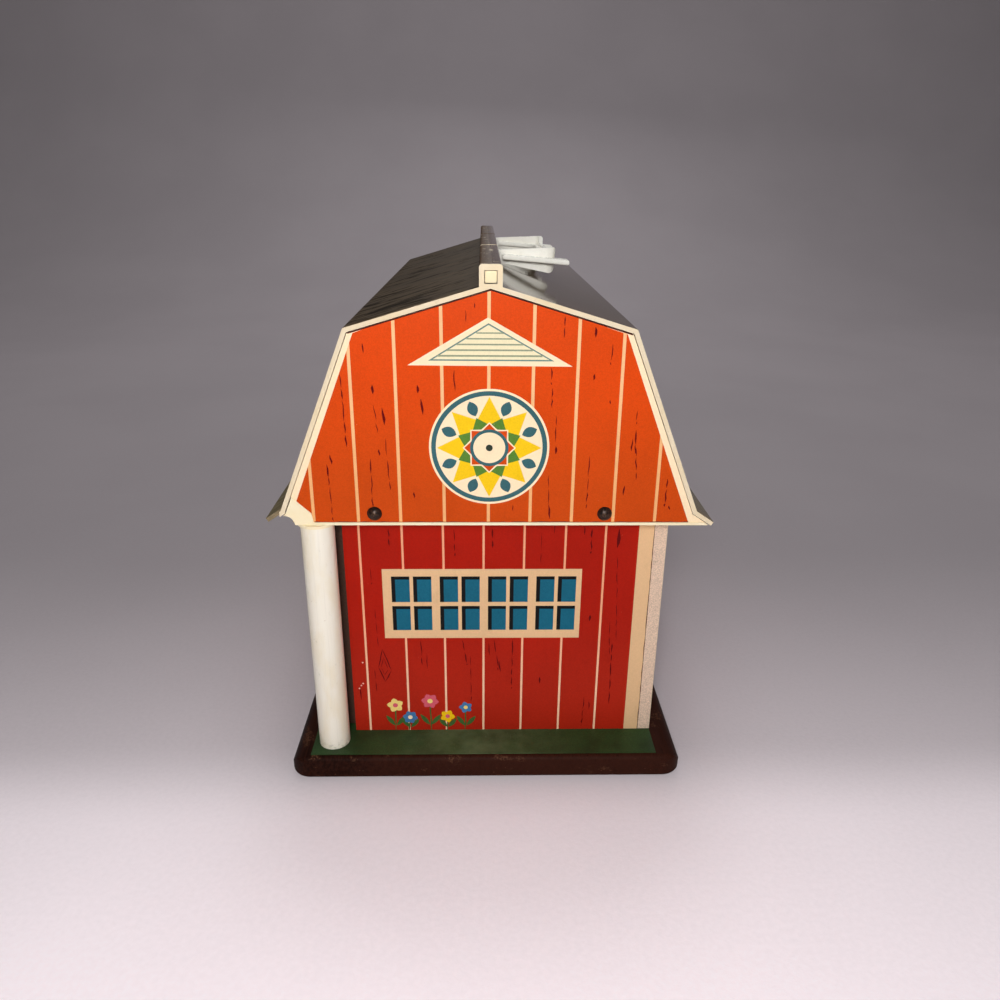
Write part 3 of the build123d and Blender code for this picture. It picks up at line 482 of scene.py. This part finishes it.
def disc(centre, radius, count=56):
    turns = [2 * math.pi * step / count for step in range(count)]
    return [(centre[0] + radius * math.cos(t), centre[1] + radius * math.sin(t)) for t in turns]


def star(centre, outer, inner, points, turn=0.0):
    """A star with its first point up, turned by a share of the step between points."""
    loop = []
    for step in range(points * 2):
        angle = math.pi / 2 + math.pi * (step + turn * 2) / points
        radius = inner if step % 2 else outer
        loop.append((centre[0] + radius * math.cos(angle), centre[1] + radius * math.sin(angle)))
    return loop


def petal(centre, angle, near, far, width, count=7):
    """A leaf shape that points away from the centre."""
    across, ahead = (-math.sin(angle), math.cos(angle)), (math.cos(angle), math.sin(angle))
    sides = []
    for side in (1, -1):
        steps = range(count + 1) if side == 1 else range(count - 1, 0, -1)
        for step in steps:
            share = step / count
            reach = near + (far - near) * share
            spread = side * width / 2 * math.sin(math.pi * share) ** 0.8
            sides.append(tuple(c + reach * a + spread * b for c, a, b in zip(centre, ahead, across)))
    return sides


def stroke(rng, top, bottom, width, waver=0.22):
    """A brushed grain mark: pointed ends, swollen middle and an unsteady line."""
    count = max(3, int(math.dist(top, bottom) / 2.2))
    left, right = [], []
    for step in range(count + 1):
        share = step / count
        spread = width / 2 * (0.12 + 0.88 * math.sin(math.pi * share) ** 0.7) * rng.uniform(0.75, 1.2)
        shift = rng.uniform(-waver, waver)
        across = top[0] + (bottom[0] - top[0]) * share + shift
        up = top[1] + (bottom[1] - top[1]) * share
        left.append((across - spread, up))
        right.append((across + spread, up))
    return left + right[::-1]


def grain(rng, ink, marks):
    """Grain marks, each given as x, top, length, lean and width. Long thin ones break into dashes."""
    layers = []
    for x, top, length, lean, width in marks:
        at = 0.0
        while at < length:
            piece = length if width > 0.8 else min(rng.uniform(4.0, 10.0), length - at)
            start = (x + lean * at / length, top - at)
            end = (x + lean * (at + piece) / length, top - at - piece)
            layers.append((ink, stroke(rng, start, end, width * rng.uniform(0.8, 1.15))))
            at += piece + rng.uniform(0.3, 1.1)
    return layers


def scattered_grain(rng, ink, lines, low, high):
    """Grain marks for a wall that the photograph doesn't show: a few in each board."""
    marks = []
    for left, right in zip(lines, lines[1:]):
        for _ in range(rng.choice((2, 3, 3, 4))):
            x = rng.uniform(left + 3.0, right - 3.0)
            length = rng.choice((4.0, 7.0, 12.0, 22.0, 30.0))
            top = rng.uniform(low + length, high)
            marks.append((x, top, length, rng.uniform(-0.8, 0.8), rng.choice((0.4, 0.5, 0.6, 1.0))))
    return grain(rng, ink, marks)


def planks(ink, lines, width, low, high):
    return [(ink, block(x - width / 2, low, x + width / 2, high)) for x in lines]


PANE_WIDTH = 8.9
PANE_PITCH = 10.6
PAIR_PITCH = 23.55
WINDOW_MARGIN = 4.3
WINDOW_LOW = 68.3
WINDOW_HIGH = 106.8
PANE_ROWS = ((72.9, 86.5), (88.75, 102.8))
REVEAL_LEFT = 1.9
REVEAL_TOP = 1.7
WINDOW_RIGHT_MARGIN = 2.6


def window(left, pairs):
    """A beige frame with pairs of panes in two rows. Each pane has a black reveal at its left and top."""
    last = left + WINDOW_MARGIN + PAIR_PITCH * (pairs - 1) + PANE_PITCH + PANE_WIDTH
    layers = [("beige", block(left, WINDOW_LOW, last + WINDOW_RIGHT_MARGIN, WINDOW_HIGH))]
    for pair in range(pairs):
        for column in range(2):
            start = left + WINDOW_MARGIN + PAIR_PITCH * pair + PANE_PITCH * column
            for low, high in PANE_ROWS:
                layers.append(("black", block(start, low, start + PANE_WIDTH, high)))
                blue = block(start + REVEAL_LEFT, low, start + PANE_WIDTH, high - REVEAL_TOP)
                layers.append(("blue", blue))
    return layers


def vent():
    """A louvred triangle under the ridge."""
    layers = [
        ("cream", [(-34.9, 208.9), (34.6, 208.6), (-1.1, 228.8)]),
        ("teal_line", [(-26.2, 210.9), (26.8, 210.8), (-0.9, 226.5)]),
        ("slat", [(-24.1, 211.5), (24.7, 211.4), (-0.9, 225.8)]),
    ]
    for level, high in enumerate((212.6, 215.0, 217.4, 219.8, 222.2)):
        half = 24.4 * (225.8 - high) / 14.3 - 0.6
        layers.append(("slat_line", block(-0.4 - half, high, -0.2 + half, high + 0.75 - level * 0.05)))
    return layers


def barn_star(centre):
    """A plain eight-pointed barn star in a ring."""
    ring = [("cream", 26.3), ("teal", 25.3), ("cream", 23.3)]
    layers = [(ink, disc(centre, radius, 72)) for ink, radius in ring]
    points = 8
    for step in range(points):
        angle = math.pi / 2 + (step + 0.5) * 2 * math.pi / points
        layers.append(("teal", petal(centre, angle, 15.4, 22.4, 4.6)))
    return layers + [
        ("yellow", star(centre, 22.8, 13.6, points)),
        ("green", star(centre, 14.6, 10.4, points, 0.5)),
        ("cream", star(centre, 11.6, 9.0, points)),
        ("orange", star(centre, 10.9, 8.2, points)),
        ("teal", disc(centre, 8.4, 40)),
        ("cream", disc(centre, 7.0, 40)),
        ("dot", disc(centre, 1.5, 20)),
    ]


def flower(centre, radius, petals, ink, heart_ink, turn=0.0):
    """A plain round-petalled flower."""
    layers = []
    for step in range(petals):
        angle = turn + 2 * math.pi * step / petals
        layers.append((ink, petal(centre, angle, radius * 0.1, radius, radius * 0.78)))
    layers.append((heart_ink, disc(centre, radius * 0.3, 16)))
    return layers


def flower_bed(rng, foot, places):
    """A row of plain flowers, each given as x, height, radius, petals, ink and heart ink."""
    layers = []
    for x, up, *_ in places:
        bottom = (x + rng.uniform(-1.2, 1.2), foot - 1.0)
        layers.append(("leaf", stroke(rng, (x, foot + up), bottom, 0.8, 0.15)))
        for side in (0.9, 2.2):
            layers.append(("leaf", petal((x, foot + up * 0.15), side, 0.6, 6.2 + up * 0.15, 2.4)))
    for x, up, radius, petals, ink, heart_ink in places:
        layers += flower((x, foot + up), radius, petals, ink, heart_ink, x)
    return layers


# Printed sheets on the panels


def open_edges(rings):
    """The edges that only one of the rings runs along, in the order of the rings."""
    found = {}
    for ring in rings:
        for start, end in zip(ring, ring[1:] + ring[:1]):
            if (end, start) in found:
                del found[(end, start)]
            else:
                found[(start, end)] = True
    return list(found)


def face_loops(node, axis, side):
    """Outlines of the flat face of a node that looks along an axis, border first, and the face's place."""
    mesh = nodes[node].data
    normal = Vector([side if letter == axis else 0.0 for letter in "XYZ"])
    flat = [p for p in mesh.polygons if p.normal.dot(normal) > 0.999]
    level = max(p.center.dot(normal) for p in flat)
    corners = [tuple(round(c / MM, 3) for c in vertex.co) for vertex in mesh.vertices]
    outer = [p for p in flat if p.center.dot(normal) >= level - 0.01 * MM]
    edges = open_edges([[corners[index] for index in p.vertices] for p in outer])
    following = dict(sorted(edges))
    loops = []
    while following:
        point = next(iter(following))
        loop = []
        while point in following:
            loop.append(point)
            point = following.pop(point)
        loops.append([(p[1] if axis == "X" else p[0], p[2]) for p in loop])
    loops.sort(key=lambda loop: -abs(area(loop)))
    return loops, level / MM * side


def area(loop):
    """Area inside a loop, above zero if it runs anticlockwise."""
    return sum(a[0] * b[1] - b[0] * a[1] for a, b in zip(loop, loop[1:] + loop[:1])) / 2


SHEET_THICKNESS = 0.15
GABLE_STRETCH = 1.0038


def cut_sheet(loops, layers):
    """Points of a flat sheet, its triangles and the ink of each. The first loop is its border.

    The other loops are its holes. Later layers are printed over earlier ones.
    """
    holes = len(loops) - 1
    points, faces = [], []
    for loop in loops + [shape for _, shape in layers]:
        if area(loop) < 0:
            loop = loop[::-1]
        faces.append(list(range(len(points), len(points) + len(loop))))
        points += [Vector(point) for point in loop]
    flat, _, triangles, _, _, sources = delaunay_2d_cdt(points, [], faces, 1, 1e-4)
    kept, inks = [], []
    for triangle, source in zip(triangles, sources):
        if 0 not in source or any(0 < index <= holes for index in source):
            continue
        layer = max(source) - holes - 1
        kept.append(list(triangle))
        inks.append(layers[max(layer, 0)][0])
    used = sorted({index for triangle in kept for index in triangle})
    renumbered = {index: count for count, index in enumerate(used)}
    kept = [[renumbered[index] for index in triangle] for triangle in kept]
    return [flat[index] for index in used], kept, inks


def printed_sheet(name, body, node, axis, side, layers, stretch=1.0):
    """A thin closed sheet on a flat face of a node, printed in layers.

    The stretch widens it, so that it reaches a little past its board.
    """
    loops, level = face_loops(node, axis, side)
    loops[0] = [(across * stretch, up) for across, up in loops[0]]
    points, triangles, inks = cut_sheet(loops, layers)
    palette = sorted({ink for ink, _ in layers})
    upward = (axis == "Y") == (side < 0)

    def place(point, out):
        depth = level + side * out
        along = (depth, point.x) if axis == "X" else (point.x, depth)
        return (along[0] * MM, along[1] * MM, point.y * MM)

    vertices = [place(point, out) for out in (SHEET_THICKNESS, 0.0) for point in points]
    half = len(points)
    rims = open_edges(triangles)
    tops = triangles if upward else [triangle[::-1] for triangle in triangles]
    backs = [[index + half for index in triangle[::-1]] for triangle in tops]
    walls = [[b, a, a + half, b + half] if upward else [a, b, b + half, a + half] for a, b in rims]
    mesh = bpy.data.meshes.new(name)
    mesh.from_pydata(vertices, [], tops + backs + walls)
    for ink in palette:
        mesh.materials.append(INKS[ink])
    mesh.materials.append(PAPER)
    indices = [palette.index(ink) for ink in inks] + [len(palette)] * (len(backs) + len(walls))
    mesh.polygons.foreach_set("material_index", indices)
    mesh.update()
    sheet = bpy.data.objects.new(name, mesh)
    scene.collection.objects.link(sheet)
    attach(sheet, body)
    return sheet


GABLE_LINES = (-79.2, -59.2, -40.2, -20.5, -0.7, 18.1, 36.9, 55.8, 74.8)
GABLE_LINE_WIDTH = 1.4
GABLE_LOW = 137.4
APEX = 239.8
STAR_CENTRE = (-0.4, 172.7)
EDGE_SHADE = 0.35

# Grain marks that the photograph shows on the near gable: x, top, length, lean and width
GABLE_MARKS = (
    (-63.2, 205, 32, 0.8, 0.7), (-50.0, 200.5, 4.0, 0.2, 1.0), (-46.4, 190.5, 7.5, 0.9, 1.2),
    (-48.5, 172, 3.0, 0.2, 1.0), (-31.0, 200.5, 3.5, 0.2, 1.0), (-29.5, 194.5, 6.8, 0.7, 1.2),
    (28.7, 173.5, 3.6, 0.2, 1.0), (43.9, 205.5, 2.7, 0.0, 1.0), (51.4, 194.3, 1.8, 0.0, 0.9),
    (-69.9, 169.5, 4.6, 0.5, 1.0), (-33.8, 152, 3.0, 0.0, 1.0), (59.9, 155.2, 4.8, -0.2, 1.0),
    (43.5, 225.3, 4.4, 0.0, 0.9), (-49.8, 192, 12.4, 1.1, 0.5), (-45.6, 177, 8.0, 0.5, 0.5),
    (-15.4, 207, 9.0, 0.3, 0.6), (-10.4, 232, 5.0, 0.2, 0.4), (-6.6, 234.6, 2.2, 0.0, 0.6),
    (-53.2, 218, 4.2, 0.3, 0.6), (30.6, 229.5, 9.0, -0.2, 0.5), (50.9, 218.4, 9.0, -0.3, 0.45),
    (25.7, 208, 7.2, 0.1, 0.6), (26.2, 199.4, 8.6, 0.2, 0.6), (28.3, 187.4, 12.0, 0.2, 0.55),
    (63.4, 189.5, 6.0, -0.2, 0.45), (63.2, 181, 11.0, 0.6, 0.8), (62.1, 177, 6.0, -0.4, 0.7),
    (63.6, 180, 22.0, 1.3, 0.5), (-71.6, 165, 6.0, 0.2, 1.2), (-71.3, 159, 21.0, 0.7, 0.55),
    (-52.3, 167.5, 23.0, -0.2, 0.6), (-45.0, 167, 14.0, 0.7, 0.6), (43.8, 169, 25.0, -0.4, 0.5),
    (79.2, 158.5, 13.5, -0.4, 0.7), (80.6, 145.5, 2.0, 0.6, 0.9), (25.9, 160, 14.0, 0.5, 0.45),
    (26.6, 146, 7.0, 0.4, 0.9), (10.2, 146, 3.0, 0.0, 0.5),
)


def gable_layers(rng, cut_corner, marks):
    """Orange boards with pale lines, the vent and the star. The steep sides keep a cream border."""
    border = 2.9
    knee_x, knee_z = 59.13, 222.15
    foot_x = 93.24
    below, above, beside = 130.0, 245.0, 110.0
    shoulder_x, shoulder_z = knee_x - 2.2, knee_z + 0.05
    orange = [
        (-foot_x + border, GABLE_LOW), (foot_x - border, GABLE_LOW), (shoulder_x, shoulder_z),
        (24.0, 232.9), (0.0, APEX + 1.0), (-40.0, 228.2), (-shoulder_x, shoulder_z),
    ]
    layers = [("cream", block(-beside, below, beside, above)), ("orange", orange)]
    layers += planks("orange_line", GABLE_LINES, GABLE_LINE_WIDTH, below, above)
    side_border = [
        (foot_x - border, GABLE_LOW), (beside, GABLE_LOW), (beside, 226.0), (shoulder_x, shoulder_z),
    ]
    layers.append(("cream", side_border))
    layers.append(("cream", [(-x, z) for x, z in side_border]))
    for knee in (-knee_x, knee_x):
        rake = [(knee, knee_z - EDGE_SHADE), (knee, above), (0.0, above), (0.0, APEX - EDGE_SHADE)]
        layers.append(("edge_shade", rake))
    if marks:
        layers += grain(rng, "dark_grain", marks)
    else:
        layers += scattered_grain(rng, "dark_grain", GABLE_LINES, 140.0, 196.0)
    layers += vent() + barn_star(STAR_CENTRE)
    left = -79.0 if cut_corner else -foot_x + border
    right = foot_x - border
    # A ragged dark line along the foot of the gable: painted shadow above the sill
    steps = 60
    ragged = []
    for step in range(steps + 1):
        across = right + (left - right) * step / steps
        ragged.append((across, GABLE_LOW + rng.uniform(0.15, 0.45)))
    layers.append(("seam", [(left, GABLE_LOW), (right, GABLE_LOW)] + ragged))
    return layers


WALL_LINES = (-61.9, -41.6, -22.1, -2.8, 16.7, 36.4, 55.5)
WALL_LINE_WIDTH = 1.05
WALL_LOW = 12.4
WALL_HIGH = 136.1

# Grain marks that the photograph shows on the near wall, with the same values
WALL_MARKS = (
    (-47.9, 128, 9, 0.2, 0.6), (-16.9, 128, 14.5, 0.4, 0.6), (1.3, 128, 10, 0.2, 0.7),
    (-57.3, 107.5, 9, 0.2, 0.4), (-56.2, 85, 22, 0.4, 0.4), (-34.2, 67.5, 15, 0.3, 0.5),
    (-13.4, 67.4, 15, 2.2, 0.7), (0.0, 65.5, 7.5, 0.2, 0.6), (45.4, 129.5, 5.5, 0.0, 0.6),
    (48.7, 128, 13, 0.2, 0.8), (61.9, 128, 10, -0.4, 1.4), (61.7, 114, 47, 2.4, 0.4),
    (50.3, 81.3, 3.6, -0.2, 1.1), (24.7, 126, 16, 0.2, 0.4), (2.6, 67.5, 18.5, 2.2, 0.7),
    (11.8, 67.3, 29.5, -0.2, 0.6), (62.0, 65, 37, 0.6, 0.7), (-31.5, 59, 10, 0.4, 0.5),
    (-9.4, 58, 28, 0.4, 0.4), (26.1, 45, 4.0, 0.0, 0.9), (49.5, 32.6, 18, -0.6, 0.6),
    (52.1, 29.8, 5, 0.2, 0.6), (-58.0, 50, 14, 0.3, 0.4), (-66.2, 40, 9, 0.4, 0.5),
    (5.0, 55, 7, 1.0, 0.9), (60.0, 78, 20, 1.0, 0.4), (31.0, 131, 6, 0.0, 0.4),
)
KNOT = ((-53.7, 61.9), (-56.1, 50.9), (-53.0, 42.6), (-49.6, 49.1))
SPECKS = ((-64.0, 54.0), (-64.4, 41.4), (-66.5, 38.4), (-65.4, 40.2))
STRIP_LEFT = 71.3
STRIP_RIGHT = 78.5
JAG = 3.1

FLOWERS = (
    (-48.5, 15.5, 4.4, 5, "pale_yellow", "pink"), (-41.0, 8.0, 4.0, 6, "flower_blue", "cream"),
    (-30.5, 18.0, 4.6, 6, "pink", "pale_yellow"), (-21.5, 8.5, 4.0, 5, "yellow", "pink"),
    (-12.0, 14.0, 3.6, 5, "flower_blue", "pale_yellow"),
)


def wall_ground(lines, left, right):
    ground = [("red", block(left, WALL_LOW - 1, right, WALL_HIGH + 1))]
    return ground + planks("red_line", lines, WALL_LINE_WIDTH, 0.0, 140.0)


def knot(rng):
    """The diamond-shaped knot low on the near wall."""
    layers = []
    for scale in (1.0, 0.55):
        middle = [sum(point[axis] for point in KNOT) / len(KNOT) for axis in (0, 1)]
        ring = [tuple(m + (c - m) * scale for c, m in zip(point, middle)) for point in KNOT]
        for start, end in zip(ring, ring[1:] + ring[:1]):
            high, low = (start, end) if start[1] > end[1] else (end, start)
            layers.append(("red_grain", stroke(rng, high, low, 0.5 * scale + 0.1, 0.15)))
    return layers


def near_wall_layers(rng):
    layers = wall_ground(WALL_LINES, -75.0, STRIP_LEFT)
    layers.append(("beige", block(STRIP_LEFT, WALL_LOW - 1, 90.0, WALL_HIGH + 1)))
    # A jagged dark line between the cream strip and the back wall's end: partly a seam, partly painted
    # shadow in the gap
    jagged = [(STRIP_RIGHT + rng.uniform(-0.25, 0.1), 10.0 + step * JAG) for step in range(42)]
    layers.append(("seam", jagged + [(80.0, 140.0), (80.0, 10.0)]))
    layers += grain(rng, "red_grain", WALL_MARKS) + knot(rng)
    layers += window(-52.0, 4)
    layers += flower_bed(rng, WALL_LOW, FLOWERS)
    layers += [("speck", disc(place, 0.45, 7)) for place in SPECKS]
    return layers


def even_lines(low, high, pitch):
    count = int((high - low) / pitch)
    start = (low + high - count * pitch) / 2
    return [start + pitch * step for step in range(count + 1)]


def long_wall_layers(rng, low, high, windows):
    """A long wall: boards, windows and a cream strip at each end."""
    lines = even_lines(low + 16.0, high - 16.0, 19.5)
    layers = wall_ground(lines, low + 7.3, high - 7.3)
    layers.insert(0, ("beige", block(low - 2, WALL_LOW - 1, high + 2, WALL_HIGH + 1)))
    layers += scattered_grain(rng, "red_grain", [low + 8.0] + lines + [high - 8.0], 20.0, 128.0)
    for left, pairs in windows:
        layers += window(left, pairs)
    return layers


def door_layers(rng, inner, outer, low, high):
    """Red boards with a cream border and a cream brace from the low outer corner to the high inner one."""
    margin = 4.2
    sides = sorted((inner, outer))
    layers = [("cream", block(sides[0] - 1, low - 1, sides[1] + 1, high + 1))]
    field = (sides[0] + margin, low + margin, sides[1] - margin, high - margin)
    layers.append(("red", block(*field)))
    lines = even_lines(field[0], field[2], 9.6)[1:-1]
    layers += planks("red_line", lines, 0.8, field[1], field[3])
    layers += scattered_grain(rng, "red_grain", [field[0]] + lines + [field[2]], field[1] + 1, field[3] - 1)
    brace_up = 9.0
    brace_across = 5.2 if outer > inner else -5.2
    start, end = (outer, low), (inner, high)
    layers.append(("cream", [start, (outer, low + brace_up), (inner + brace_across, high), end]))
    layers.append(("cream", [start, end, (inner, high - brace_up), (outer - brace_across, low)]))
    return layers


rng = random.Random(7)
printed_sheet(
    "near_gable_print", "barn", "near_gable_panel", "Y", -1,
    gable_layers(rng, True, GABLE_MARKS), GABLE_STRETCH,
)
printed_sheet(
    "far_gable_print", "barn", "far_gable_panel", "Y", 1,
    gable_layers(rng, False, None), GABLE_STRETCH,
)
printed_sheet("near_wall_print", "barn", "near_wall", "Y", -1, near_wall_layers(rng))
printed_sheet(
    "far_wall_print", "barn", "far_wall", "Y", 1,
    long_wall_layers(rng, -69.6, 78.8, [(-44.0, 4)]),
)
printed_sheet(
    "back_wall_print", "barn", "back_wall", "X", 1,
    long_wall_layers(rng, -148.1, 148.1, [(-122.0, 4), (22.0, 4)]),
)
printed_sheet(
    "front_wing_print", "front_wing", "front_wing_wall", "X", -1,
    long_wall_layers(rng, -143.1, 147.7, [(-126.0, 2), (74.0, 2)]),
)
printed_sheet(
    "near_door_print", "near_barn_door", "near_door", "X", -1,
    door_layers(rng, -0.3, -48.5, 16.5, 99.5),
)
printed_sheet(
    "far_door_print", "far_barn_door", "far_door", "X", -1,
    door_layers(rng, 0.3, 48.5, 16.5, 99.5),
)


# Materials of the CAD nodes


def dress(node, *materials, choose=None):
    """Gives a node its materials. The choice tells each face which of them it takes."""
    mesh = nodes[node].data
    mesh.materials.clear()
    for material in materials:
        mesh.materials.append(material)
    picks = [choose(p.center / MM, p.normal) if choose else 0 for p in mesh.polygons]
    mesh.polygons.foreach_set("material_index", picks)
    mesh.update()


RIDGE_FOOT = 241.0
RIDGE_SIDE = 4.5
WORN_EAVE_Y = (-160.0, -156.0)
FAR_SLOT_Y = (40.0, 66.0)


def roof_face(centre, normal):
    """Dark skin on top, on the ridge box's sides and round its far slot. Cream cut edges and underside."""
    if normal.y < -0.5 and WORN_EAVE_Y[0] < centre.y < WORN_EAVE_Y[1]:
        return 2
    if abs(normal.y) > 0.5:
        return 0 if FAR_SLOT_Y[0] < centre.y < FAR_SLOT_Y[1] else 1
    if normal.z > 0.2 and normal.x * centre.x > -0.1:
        return 0
    if centre.z > RIDGE_FOOT and normal.x * centre.x > 0 and abs(centre.x) > RIDGE_SIDE:
        return 0
    return 1


def end_face(centre, normal):
    return 1 if abs(normal.y) > 0.9 else 0


# Rims of a gable panel: its front and back take the board; the top rims take painted shade and the other
# rims the roof's cream as painted light, for the gap under the roof
def rim_light_shade_face(centre, normal):
    if abs(normal.y) > 0.9:
        return 0
    return 2 if normal.z > 0.7 else 1


dress("roof_shell", ROOF_SKIN, ROOF_EDGE, EAVE_END, choose=roof_face)
for name in ("near_sill", "far_sill", "near_ridge_plug", "far_ridge_plug", "door_frame"):
    dress(name, CREAM_PLASTIC)
dress("handle", WHITE_PLASTIC)
for name in ("corner_post", "near_door_knob", "far_door_knob"):
    dress(name, WHITE_ENAMEL)
dress("base_board", BASE_WOOD)
dress("ground_sheet", GREEN_PRINT)
for name in ("near_corner_strip", "catch_peg", "loft_floor"):
    dress(name, RAW_WOOD)
dress("back_wall", HARDBOARD, PALE_END, choose=end_face)
# The wing's end beside the post is in painted shade
dress("front_wing_wall", HARDBOARD, SHADED_DARK_END, choose=end_face)
for name in ("near_gable_panel", "far_gable_panel"):
    dress(name, HARDBOARD, ROOF_EDGE, SHADED_DARK_END, choose=rim_light_shade_face)
for name in ("near_wall", "far_wall", "near_door", "far_door"):
    dress(name, HARDBOARD)
for level in ("lower", "upper"):
    for part in ("fixed_leaf", "moving_leaf", "hinge_pin"):
        dress(f"{level}_{part}", BRASSED)
for name in ("handle_rod", "base_screws", "loft_screws", "fixed_leaf_screws", "moving_leaf_screws"):
    dress(name, STEEL)
for name in ("near_gable_nails", "far_gable_nails", "eave_nails", "back_wall_brads"):
    dress(name, NAIL)


# Floor, light and camera


def sweep():
    """A floor that curves up into a backdrop behind the barn, in metres."""
    half_width, front, bend_start, radius, high = 4.0, -4.0, 1.1, 1.2, 3.2
    profile = [(front, 0.0), (-1.0, 0.0), (0.0, 0.0), (bend_start, 0.0)]
    for step in range(1, 25):
        angle = math.pi / 2 * step / 24
        profile.append((bend_start + radius * math.sin(angle), radius * (1 - math.cos(angle))))
    profile.append((bend_start + radius, high))
    vertices = [(side * half_width, y, z) for y, z in profile for side in (-1, 1)]
    faces = [(2 * n, 2 * n + 1, 2 * n + 3, 2 * n + 2) for n in range(len(profile) - 1)]
    mesh = bpy.data.meshes.new("studio_sweep")
    mesh.from_pydata(vertices, [], faces)
    mesh.polygons.foreach_set("use_smooth", [True] * len(faces))
    mesh.materials.append(studio_floor())
    mesh.update()
    made = bpy.data.objects.new("studio_sweep", mesh)
    scene.collection.objects.link(made)


def lamp(name, place, target, size, power):
    """A round white lamp that looks at its target: places and size in metres, power in watts."""
    data = bpy.data.lights.new(name, "AREA")
    data.shape = "DISK"
    data.size = size
    data.energy = power
    made = bpy.data.objects.new(name, data)
    made.location = place
    made.rotation_mode = "QUATERNION"
    made.rotation_quaternion = (Vector(place) - Vector(target)).to_track_quat("Z", "Y")
    scene.collection.objects.link(made)


def world_light(strength, background):
    """An even white room. What the camera, reflections and glass show of it is the background colour."""
    world = bpy.data.worlds.new("studio_room")
    world.use_nodes = True
    tree = world.node_tree
    tree.nodes.clear()
    light = tree.nodes.new("ShaderNodeBackground")
    light.inputs["Color"].default_value = (1.0, 1.0, 1.0, 1.0)
    light.inputs["Strength"].default_value = strength
    shown = tree.nodes.new("ShaderNodeBackground")
    shown.inputs["Color"].default_value = background
    shown.inputs["Strength"].default_value = 1.0
    choice = tree.nodes.new("ShaderNodeMixShader")
    tree.links.new(viewing_ray(tree), choice.inputs[0])
    tree.links.new(light.outputs[0], choice.inputs[1])
    tree.links.new(shown.outputs[0], choice.inputs[2])
    output = tree.nodes.new("ShaderNodeOutputWorld")
    tree.links.new(choice.outputs[0], output.inputs["Surface"])
    scene.world = world


SENSOR_WIDTH = 36.0
FOCAL_SHARE = 0.7881


def photo_camera():
    """The photograph's camera: a little above the roof, close to the near gable."""
    place = Vector((-3.3, -490.0, 279.0)) * MM
    pitch, yaw, roll = (math.radians(angle) for angle in (21.732, 1.363, -0.543))
    forward = Vector((math.sin(yaw) * math.cos(pitch), math.cos(yaw) * math.cos(pitch), -math.sin(pitch)))
    level_right = Vector((math.cos(yaw), -math.sin(yaw), 0.0))
    level_down = forward.cross(level_right)
    right = level_right * math.cos(roll) + level_down * math.sin(roll)
    down = level_down * math.cos(roll) - level_right * math.sin(roll)
    turn = Matrix((right, -down, -forward)).transposed()
    data = bpy.data.cameras.new("photo_camera")
    data.sensor_width = SENSOR_WIDTH
    data.lens = SENSOR_WIDTH * FOCAL_SHARE
    data.clip_start = 0.01
    camera = bpy.data.objects.new("photo_camera", data)
    camera.matrix_world = Matrix.Translation(place) @ turn.to_4x4()
    scene.collection.objects.link(camera)
    scene.camera = camera


sweep()
world_light(0.11, srgb(118, 112, 115))
barn_middle = (0.0, 0.0, 0.12)
backdrop = (0.0, 2.2, 0.5)
lamp("key_lamp", (-0.03, -0.66, 0.38), barn_middle, 0.14, 2.4)
lamp("fill_lamp", (1.2, -0.8, 0.9), barn_middle, 1.0, 1.0)
lamp("top_lamp", (0.0, 0.3, 1.8), barn_middle, 1.4, 4.0)
lamp("back_lamp", (0.1, 1.6, 1.2), barn_middle, 1.0, 4.0)
lamp("backdrop_lamp", (0.0, 1.0, 2.8), backdrop, 1.0, 17.0)
photo_camera()
scene.view_settings.view_transform = "Standard"
